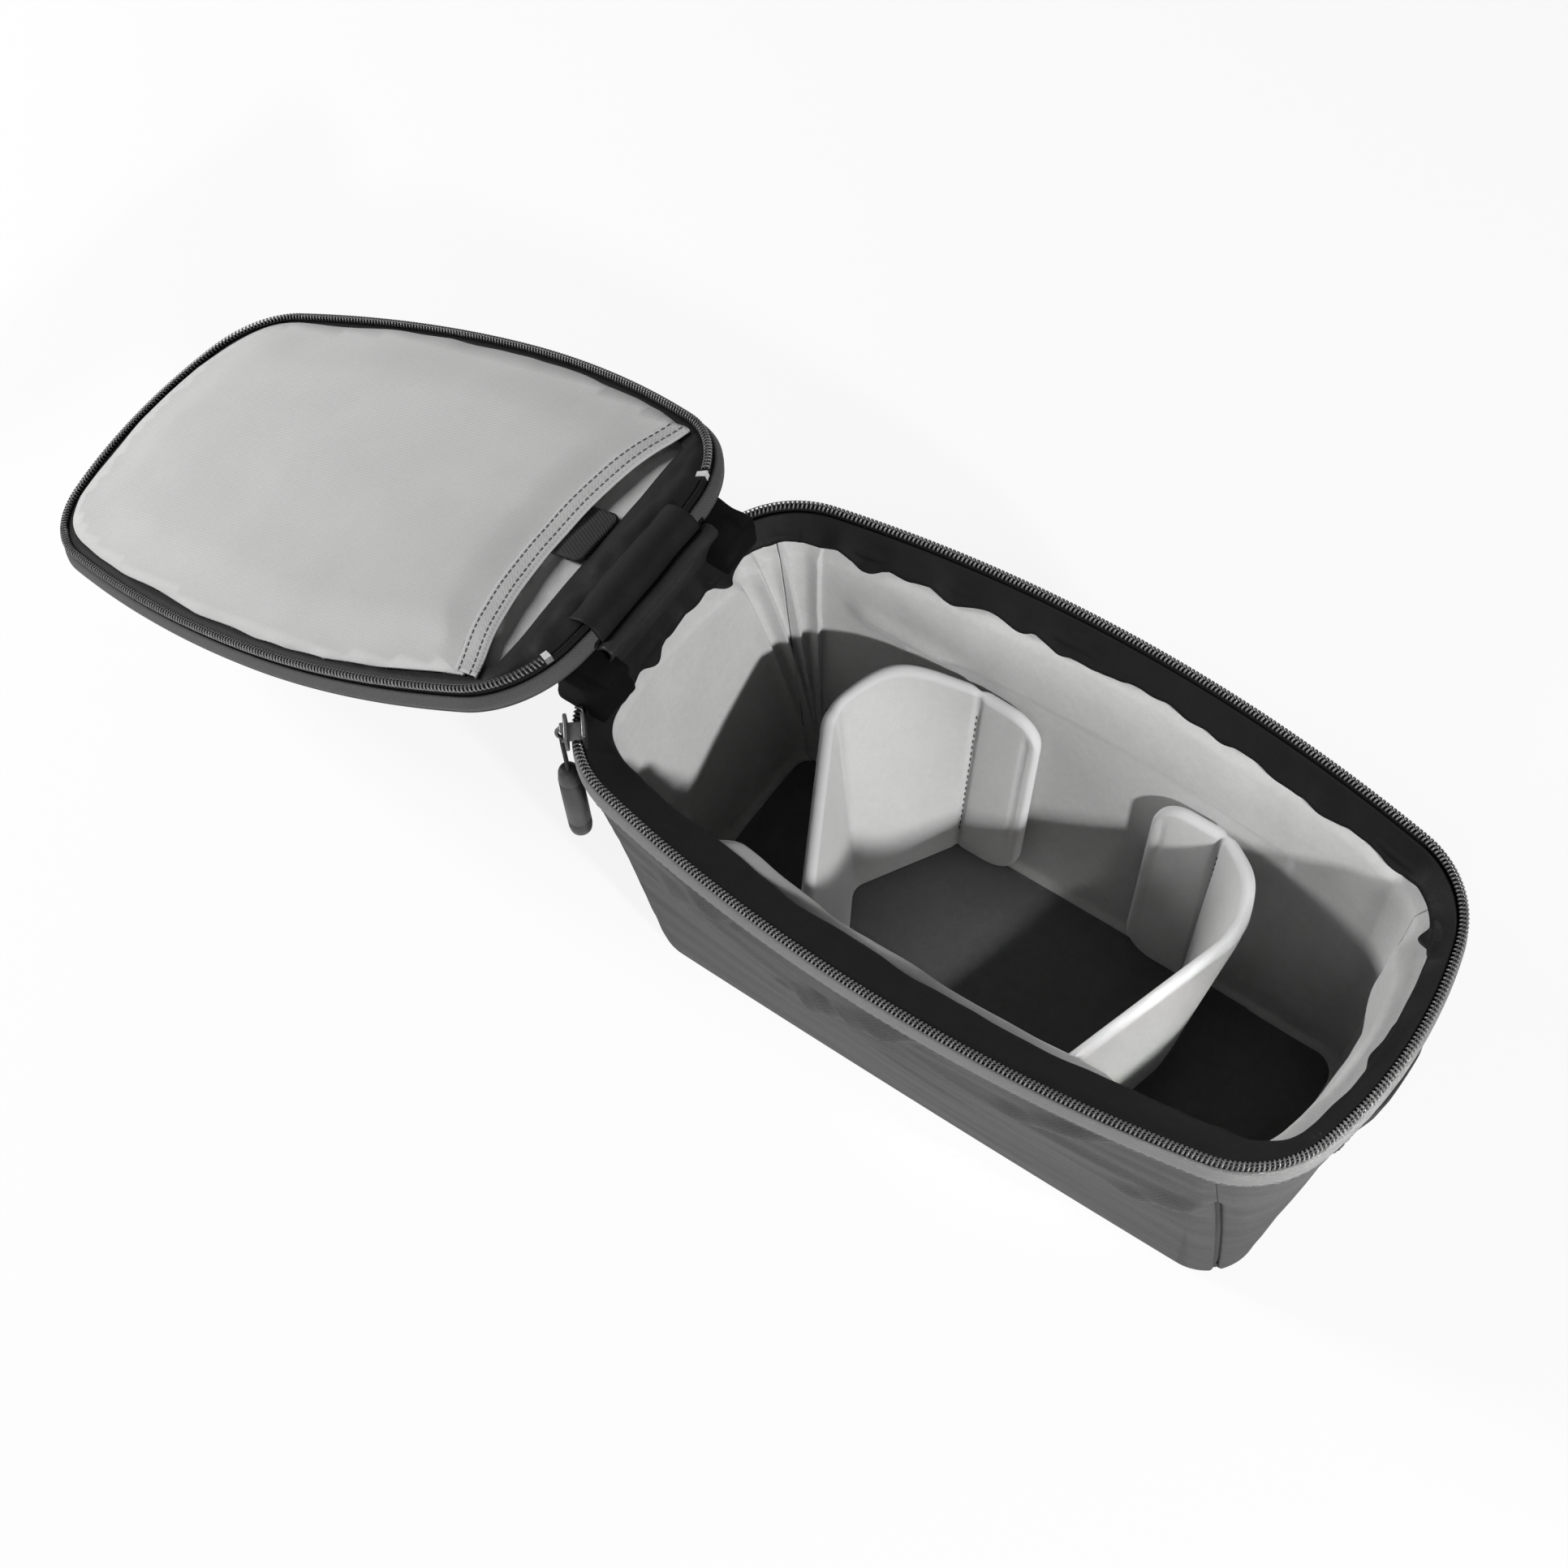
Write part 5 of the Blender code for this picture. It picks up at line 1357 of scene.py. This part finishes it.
GARAGE_CREASE, GARAGE_CREASE_WIDTH, GARAGE_CREASE_SHIFT = 1.1 * MM, 0.9 * MM, 2.0 * MM
flap_rows = across_rows(FLAP_PATH, FLAP_HALF, FLAP_COLUMNS)
for row in flap_rows:
    row[:, 0] += FLAP_WAVE * lumps(row, (30.0, 45.0, 90.0), 1.1) * eased((row[:, 2] - FLAP_WAVE_LEVEL)
                                                                       / FLAP_WAVE_FADE)
flap = cloth_strip("hinge_strip", flap_rows)
flap.data.flip_normals()
cloth(flap, FLAP, (nylon("flap_nylon", 0.020, 0.36, 0.25), None, "black_fabric"), ["hinge_flap", "lid_flap"],
      (2 * FLAP_HALF, FLAP_LENGTH), "inner_collar")
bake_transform(flap)


def block(name, place, size, turn=0.0):
    """A cube of a size, turned about Z."""
    bpy.ops.object.select_all(action="DESELECT")
    bpy.ops.mesh.primitive_cube_add(size=1.0, location=place, rotation=(0.0, 0.0, turn))
    piece = bpy.context.object
    piece.name = name
    piece.scale = size
    bpy.ops.object.transform_apply(location=True, rotation=turn != 0.0, scale=True)
    return piece


def vertex_places(piece):
    return np.array([tuple(vertex.co) for vertex in piece.data.vertices])


def move_vertices(piece, places):
    for vertex, place in zip(piece.data.vertices, places):
        vertex.co = place


garage_paint = webbing("garage_webbing", 0.007, 1.4)
for side, sign in (("front", -1), ("back", 1)):
    low, high = (np.array(corner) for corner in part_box(f"zip_garage_{side}"))
    middle = (low + high) / 2
    garage = block(f"garage_{side}", middle - np.array((0.0, sign * GARAGE_SHIFT, 0.0)),
                   (high - low) + GARAGE_GROWTH)
    softened = garage.modifiers.new("softened", "SUBSURF")
    softened.levels = softened.render_levels = 4
    softened.subdivision_type = "SIMPLE"
    rounded = garage.modifiers.new("rounded", "SMOOTH")
    rounded.factor = 0.5
    rounded.iterations = 7
    apply_modifiers(garage)
    places = vertex_places(garage)
    crease = GARAGE_CREASE * hump(places[:, 1] - middle[1] - GARAGE_CREASE_SHIFT * sign, GARAGE_CREASE_WIDTH)
    away = places - middle
    dents = GARAGE_DENT * lumps(places, (150.0, 90.0, 150.0), 3.0 * sign)[:, None]
    places = places + away / np.linalg.norm(away, axis=1)[:, None] * dents
    places[:, 2] -= np.where(places[:, 2] > middle[2], crease, 0.0)
    move_vertices(garage, places)
    finish(garage, garage_paint, "tub", "black_fabric", f"zip_garage_{side}")

# Zip slider
# A cast slider in dark metal that rides the coil: two plates joined by a bridge, with two lugs. A bent
# bail in the lugs carries the pull.
SLIDER_TURN = math.radians(220.0)
SLIDER_CENTRE = Vector((-106.3, -30.8, 142.0)) * MM
SLIDER_BLOCKS_MM = (("slider_outer", (40.0, 0.9), (1.4, 10.0, 8.6), 0.5),
                    ("slider_inner", (34.0, 0.9), (1.4, 10.0, 8.6), 0.5),
                    ("slider_bridge", (37.0, 0.9), (5.0, 7.0, 1.0), 0.2),
                    ("slider_lug", (41.2, 4.0), (1.6, 3.4, 1.6), 0.4),
                    ("slider_lug_low", (41.2, -2.4), (1.6, 3.4, 1.2), 0.3))
BAIL_CENTRE_MM, BAIL_REACH_MM, BAIL_HALF_HEIGHT_MM = (41.2, 0.9), 2.0, 3.1
BAIL_RADIUS = 0.75 * MM
BAIL_POINTS = 13
gunmetal = Paint("gunmetal", 0.36, Metallic=0.85)
cast_grain = gunmetal.grain(700.0, 3.0)
gunmetal.colour(cast_grain, grey(0.05), grey(0.16))
gunmetal.bump(cast_grain * 0.05)
slider_across = Vector((math.cos(SLIDER_TURN), math.sin(SLIDER_TURN), 0.0))
slider_along = Vector((-math.sin(SLIDER_TURN), math.cos(SLIDER_TURN), 0.0))


def on_slider(radius, height):
    """A place across the slider's own turned frame."""
    return SLIDER_CENTRE + slider_across * radius + Vector((0.0, 0.0, height))


parts = []
for name, (radius, height), size, rounding in SLIDER_BLOCKS_MM:
    part = block(name, on_slider(radius * MM, height * MM), [length * MM for length in size], SLIDER_TURN)
    bevel = part.modifiers.new("edges", "BEVEL")
    bevel.width = rounding * MM
    bevel.segments = 3
    apply_modifiers(part)
    parts.append(part)
bpy.ops.object.select_all(action="DESELECT")
for part in parts:
    part.select_set(True)
bpy.context.view_layer.objects.active = parts[0]
bpy.ops.object.join()
slider = bpy.context.object
slider.name = "slider_body"
finish(slider, gunmetal, "slider", "zip_metal", "zip_slider")
bail_line = []
for angle in np.linspace(-0.45 * math.pi, 0.45 * math.pi, BAIL_POINTS):
    radius = BAIL_CENTRE_MM[0] + BAIL_REACH_MM * math.cos(angle)
    height = BAIL_CENTRE_MM[1] + BAIL_HALF_HEIGHT_MM * math.sin(angle)
    bail_line.append(on_slider(radius * MM, height * MM))
bail = mesh_piece("bail", *tube(bail_line, BAIL_RADIUS, 10, np.tile(slider_along, (BAIL_POINTS, 1))))
finish(bail, gunmetal, "slider", "zip_metal", "slider_bail")

# Zip pull
# A doubled braided cord through the bail, moulded into a rubber tube with a groove near each end. It
# hangs and swings on the slider.
PIVOT = Vector((-138.55, -57.86, 138.5)) * MM
CORD_RADIUS = 0.7 * MM
CORD_POINTS = 41
CORD_TOP, CORD_LENGTH, CORD_SPREAD = 1.4 * MM, 20.5 * MM, 0.72 * MM
BRAID = 0.9 * MM
GRIP_SIDES = 32
GRIP_MM = ((0.0, -19.2), (1.6, -19.2), (2.6, -19.5), (3.4, -20.4), (3.8, -21.8), (4.0, -24.0), (4.25, -26.0),
           (3.85, -26.5), (3.85, -27.3), (4.25, -27.8), (4.3, -40.0), (4.25, -53.0), (3.85, -53.5),
           (3.85, -54.3), (4.25, -54.8), (4.2, -58.0), (3.9, -60.2), (3.1, -61.2), (1.8, -61.35), (0.0, -61.35))
pull_rubber = Paint("pull_rubber", 0.55, Coat_Weight=0.1, Coat_Roughness=0.4)
moulded = pull_rubber.grain(500.0, 3.0)
pull_rubber.colour(moulded, grey(0.012), grey(0.035))
pull_rubber.bump(moulded * 0.06)
cord_paint = Paint("braided_cord", 0.8)
braid_side, _, braid_up = cord_paint.axes(cord_paint.place((2 * math.pi / BRAID,) * 3))
braid = (braid_up + braid_side).sine() * (braid_up - braid_side).sine()
cord_paint.colour(braid * 0.5 + 0.5, grey(0.010), grey(0.045))
cord_paint.bump(braid * 0.12)
cord_line = []
for share in np.linspace(-1.0, 1.0, CORD_POINTS):
    side = CORD_SPREAD * math.copysign(min(1.0, abs(share) * 5), share)
    level = CORD_TOP - CORD_LENGTH * abs(share) ** 1.15
    cord_line.append(PIVOT + slider_along * side + Vector((0.0, 0.0, level)))
cord_guides = np.tile(slider_across, (CORD_POINTS, 1))
pull_string = mesh_piece("pull_string", *tube(cord_line, CORD_RADIUS, 8, cord_guides))
finish(pull_string, cord_paint, "pull", "black_fabric", "pull_cord")
turns = np.arange(GRIP_SIDES) / GRIP_SIDES * 2 * math.pi
round_about = np.column_stack([np.cos(turns), np.sin(turns), 0 * turns])
grip_points = [PIVOT + Vector((0.0, 0.0, GRIP_MM[0][1] * MM))]
for radius, level in GRIP_MM[1:-1]:
    grip_points += list(np.array(PIVOT) + round_about * radius * MM + np.array((0.0, 0.0, level * MM)))
grip_points.append(PIVOT + Vector((0.0, 0.0, GRIP_MM[-1][1] * MM)))
last_ring = 1 + (len(GRIP_MM) - 3) * GRIP_SIDES
grip_faces = []
for turn in range(GRIP_SIDES):
    after = (turn + 1) % GRIP_SIDES
    for start in range(1, last_ring, GRIP_SIDES):
        below = start + GRIP_SIDES
        grip_faces.append((start + turn, below + turn, below + after, start + after))
    grip_faces.append((0, 1 + turn, 1 + after))
    grip_faces.append((len(grip_points) - 1, last_ring + after, last_ring + turn))
finish(mesh_piece("pull_grip", grip_points, grip_faces), pull_rubber, "pull", "pull_rubber", "pull_tube")

# Padded dividers
# Each divider is one folded board of foam in brushed velour, stitched flat where it folds. Hook strips
# hold its two wings to the long walls. The body is blown up a little by cloth simulation.
DIVIDER_HALF = 2.5 * MM
DIVIDER_TOP = 90.0 * MM
DIVIDER_LOW = 8.0 * MM
WING_INSET = 11.2 * MM
WING_CUT = 13.0 * MM
BEND_ROUND = 6.0 * MM
FOLD_ROUND = 3.5 * MM
LEG_POINTS = (22, 34, 34, 22)
DIVIDERS = {"left": (-21.0, -47.0, (-70.0, 3.0), (-84.0, 18.0), -44.0, -20.0),
            "right": (26.0, 54.0, (62.0, 6.0), (76.0, 24.0), 50.0, 26.0)}
DIVIDER_ROWS = 22
CAP = 5
TOP_RISE_MM = (1.5, 5.0, 13.0, 10.0, 1.0, 0.0)
TOP_BULGE = {"left": 8.0 * MM, "right": 4.0 * MM}
END_THIN = 2.2 * MM
PINCH_WIDTH = 1.6 * MM
PAD_CROWN, PAD_CROWN_WIDTH = 0.45 * MM, 14.0 * MM
EDGE_LINE_DEPTH, EDGE_LINE_INSET, EDGE_LINE_WIDTH = 0.7 * MM, 5.0 * MM, 0.8 * MM
HELD_BAND = 2.5 * MM
SWELL_CAP = 1.6 * MM
SWELL_PRESSURE = 4.0
SWELL_FRAMES = 20
FOLD_STITCH = {"length": 1.9 * MM, "gap": 1.5 * MM, "radius": 0.24 * MM}
RIM_HIGHLIGHT_FROM, RIM_HIGHLIGHT_TO = 0.9 * MM, 2.4 * MM
divider_velour = velour("divider_velour", grey(0.50, 0.004), grey(0.62, 0.004))
# The velour is paler within a few millimetres of each rim: partly a paler edge binding and partly a painted
# highlight on the edges.
highlight_rim_distance, _, _ = divider_velour.axes(divider_velour.add("UVMap", {"uv_map": "rim"}, {}))
painted_highlight_mask = divider_velour.add("MapRange", {"interpolation_type": "SMOOTHSTEP"},
                               {0: highlight_rim_distance, 1: RIM_HIGHLIGHT_FROM, 2: RIM_HIGHLIGHT_TO, 3: 1.0, 4: 0.0})
fibre = divider_velour.shader.inputs["Base Color"].links[0].from_socket
painted_edge_highlight = divider_velour.add("Mix", {"data_type": "RGBA"}, {0: painted_highlight_mask, 6: Signal(divider_velour, fibre),
                                                           7: (*grey(0.66), 1.0)}, 2)
divider_velour.feed(divider_velour.shader.inputs["Base Color"], painted_edge_highlight)


def wall_y(x, height):
    """Y of a divider's wing along the back wall."""
    stations = np.linspace(END_STEPS, 2 * QUARTER - END_STEPS, 161)
    points = wall(stations, WING_INSET, height)
    return float(np.interp(x, points[::-1, 0], points[::-1, 1]))


def divider_corners(wing_end, fold, bend, front, front_end, height):
    """The middle line's corners in plan."""
    return np.array([(wing_end * MM, wall_y(wing_end * MM, height)), (fold * MM, wall_y(fold * MM, height)),
                     (bend[0] * MM, bend[1] * MM), (front * MM, -wall_y(front * MM, height)),
                     (front_end * MM, -wall_y(front_end * MM, height))])


def rounded_route(corners):
    """Points along a middle line with its corners rounded, the same count at every height."""
    rounds = (0.0, FOLD_ROUND, BEND_ROUND, FOLD_ROUND, 0.0)
    points = []
    kinds = []
    for leg, count in enumerate(LEG_POINTS):
        start, end = corners[leg], corners[leg + 1]
        step = (end - start) / np.linalg.norm(end - start)
        spread = np.linspace(0.0, 1.0, count)
        if leg == 0:
            spread = 1 - np.cos(spread * math.pi / 2)
        if leg == 3:
            spread = np.sin(spread * math.pi / 2)
        begun, ended = start + step * rounds[leg], end - step * rounds[leg + 1]
        inner = begun + (ended - begun) * spread[:, None]
        points.extend(inner)
        kinds.extend([leg] * count)
        if leg < 3:
            after = corners[leg + 2] - end
            after = after / np.linalg.norm(after)
            turn_in = end - step * rounds[leg + 1]
            turn_out = end + after * rounds[leg + 1]
            for share in np.arange(1, 8) / 8:
                mix = turn_in * (1 - share) ** 2 + 2 * end * share * (1 - share) + turn_out * share ** 2
                points.append(mix)
                kinds.append(leg + 0.5)
    return np.array(points), np.array(kinds)


def divider_body(name, bulge, wing_end, fold, bend_low, bend_high, front, front_end):
    """The closed padded body, how near each point is to its rim and folds, and the sewn columns."""
    low, kinds = rounded_route(divider_corners(wing_end, fold, bend_low, front, front_end, DIVIDER_LOW))
    high, _ = rounded_route(divider_corners(wing_end, fold, bend_high, front, front_end, DIVIDER_TOP))
    middle = (low + high) / 2
    along = np.concatenate([[0.0], np.cumsum(np.linalg.norm(np.diff(middle, axis=0), axis=1))])
    total = along[-1]
    fold_places = [along[kinds == 0.5].mean(), along[kinds == 2.5].mean()]
    bend_place = along[kinds == 1.5].mean()
    marks = [0.0, fold_places[0], (fold_places[0] + bend_place) / 2, bend_place, fold_places[1], total]
    rise = np.interp(along, marks, TOP_RISE_MM) * MM * (0.4 + 0.6 * bulge / TOP_BULGE["left"])
    for _ in range(30):
        rise[1:-1] = (rise[:-2] + 2 * rise[1:-1] + rise[2:]) / 4
    rear = np.clip((along - fold_places[0]) / (bend_place - fold_places[0]), 0.0, 1.0)
    outward = middle[len(middle) // 4] / np.linalg.norm(middle[len(middle) // 4])
    points, on_cloth, rim = [], [], []
    for column, place in enumerate(along):
        end = min(place, total - place)
        cut = WING_CUT * (1 - math.sqrt(1 - max(0.0, 1 - end / WING_CUT) ** 2))
        thin = math.sqrt(max(0.04, 1 - max(0.0, 1 - end / END_THIN) ** 2))
        pinch = sum(hump(place - fold_place, PINCH_WIDTH) for fold_place in fold_places)
        bottom, top = DIVIDER_LOW + cut, DIVIDER_TOP - cut + rise[column]
        section = [(math.cos(angle), bottom + DIVIDER_HALF * (1 + math.sin(angle)))
                   for angle in np.linspace(-math.pi / 2, 0.0, CAP)[:-1]]
        levels = np.linspace(bottom + DIVIDER_HALF, top - DIVIDER_HALF, DIVIDER_ROWS)
        section += [(1.0, level) for level in levels]
        section += [(math.cos(angle), top - DIVIDER_HALF * (1 - math.sin(angle)))
                    for angle in np.linspace(0.0, math.pi / 2, CAP)[1:]]
        section += [(-side, level) for side, level in section[1:-1][::-1]]
        before, after = max(column - 1, 0), min(column + 1, len(along) - 1)
        for side, level in section:
            share = (level - DIVIDER_LOW) / (DIVIDER_TOP - DIVIDER_LOW)
            centre = low[column] * (1 - share) + high[column] * share
            centre = centre + outward * bulge * math.sin(rear[column] * math.pi) * max(share, 0.0) ** 1.5
            ahead = (low[after] - low[before]) * (1 - share) + (high[after] - high[before]) * share
            normal = np.array((-ahead[1], ahead[0])) / np.linalg.norm(ahead)
            from_edge = min(level - bottom, top - level)
            crown = PAD_CROWN * float(eased(min(from_edge, end) / PAD_CROWN_WIDTH)) * (1 - pinch)
            groove = EDGE_LINE_DEPTH * float(hump(min(from_edge, end) - EDGE_LINE_INSET, EDGE_LINE_WIDTH))
            flat = centre + normal * side * (DIVIDER_HALF * (1 - 0.55 * pinch) + crown - groove) * thin
            points.append((flat[0], flat[1], level))
            on_cloth.append((place, level))
            rim.append((min(from_edge, end), pinch))
    size = len(section)
    faces = []
    for start in range(0, (len(along) - 1) * size, size):
        for turn in range(size):
            after = (turn + 1) % size
            faces.append((start + turn, start + after, start + size + after, start + size + turn))
    for base, flipped in ((0, True), ((len(along) - 1) * size, False)):
        for turn in range(size // 2):
            other = (size - turn) % size
            face = [base + turn, base + turn + 1, base + size - turn - 1]
            if turn > 0:
                face.append(base + other)
            if turn == size // 2 - 1:
                face = [base + turn, base + turn + 1, base + other]
            faces.append(tuple(face[::-1]) if flipped else tuple(face))
    body = mesh_piece(name, points, faces, on_cloth)
    shape = bmesh.new()
    shape.from_mesh(body.data)
    bmesh.ops.recalc_face_normals(shape, faces=shape.faces)
    shape.to_mesh(body.data)
    shape.free()
    rim = np.array(rim)
    layer = body.data.uv_layers.new(name="rim")
    corners = np.zeros(len(body.data.loops), int)
    body.data.loops.foreach_get("vertex_index", corners)
    layer.data.foreach_set("uv", rim[corners].ravel())
    body.data.uv_layers.active = body.data.uv_layers["cloth"]
    sewn = []
    levels = np.arange(CAP + 1, CAP + DIVIDER_ROWS - 3)
    for fold_place in fold_places:
        column = int(np.argmin(np.abs(along - fold_place)))
        sewn += [column * size + levels, column * size + (size - levels) % size]
    return body, rim, sewn


def swell(piece, held):
    """Blow a pad up a little by cloth simulation, held along its sewn lines, and cap how far it moves."""
    before = vertex_places(piece)
    group = piece.vertex_groups.new(name="held")
    group.add([int(number) for number in np.flatnonzero(held)], 1.0, "REPLACE")
    blown = piece.modifiers.new("cloth", "CLOTH")
    blown.settings.vertex_group_mass = "held"
    blown.settings.use_pressure = True
    blown.settings.uniform_pressure_force = SWELL_PRESSURE
    blown.settings.effector_weights.gravity = 0.0
    blown.settings.quality = 4
    blown.settings.bending_stiffness = 2.0
    blown.point_cache.frame_end = SWELL_FRAMES
    for moment in range(1, SWELL_FRAMES + 1):
        bpy.context.scene.frame_set(moment)
    apply_modifiers(piece)
    bpy.context.scene.frame_set(1)
    piece.vertex_groups.clear()
    moved = vertex_places(piece) - before
    length = np.linalg.norm(moved, axis=1)
    moved *= (SWELL_CAP * np.tanh(length / SWELL_CAP) / np.maximum(length, 1e-9))[:, None]
    move_vertices(piece, before + moved)


for side, values in DIVIDERS.items():
    body, rim, sewn = divider_body(f"{side}_divider_pad", TOP_BULGE[side], *values)
    swell(body, (rim[:, 0] < HELD_BAND) | (rim[:, 1] > 0.5))
    finish(body, divider_velour, f"{side}_divider", "divider_velour",
           *(f"{side}_divider_{piece}" for piece in ("back_wing", "rear_panel", "front_panel", "front_wing")))
    for number, line in enumerate(sewn):
        vertices = [body.data.vertices[index] for index in line]
        places = np.array([tuple(vertex.co) for vertex in vertices])
        outward = np.array([tuple(vertex.normal) for vertex in vertices])
        finish(stitch_row(f"{side}_fold_stitches_{number}", places, outward, **FOLD_STITCH), hem_thread,
               f"{side}_divider", "divider_velour")
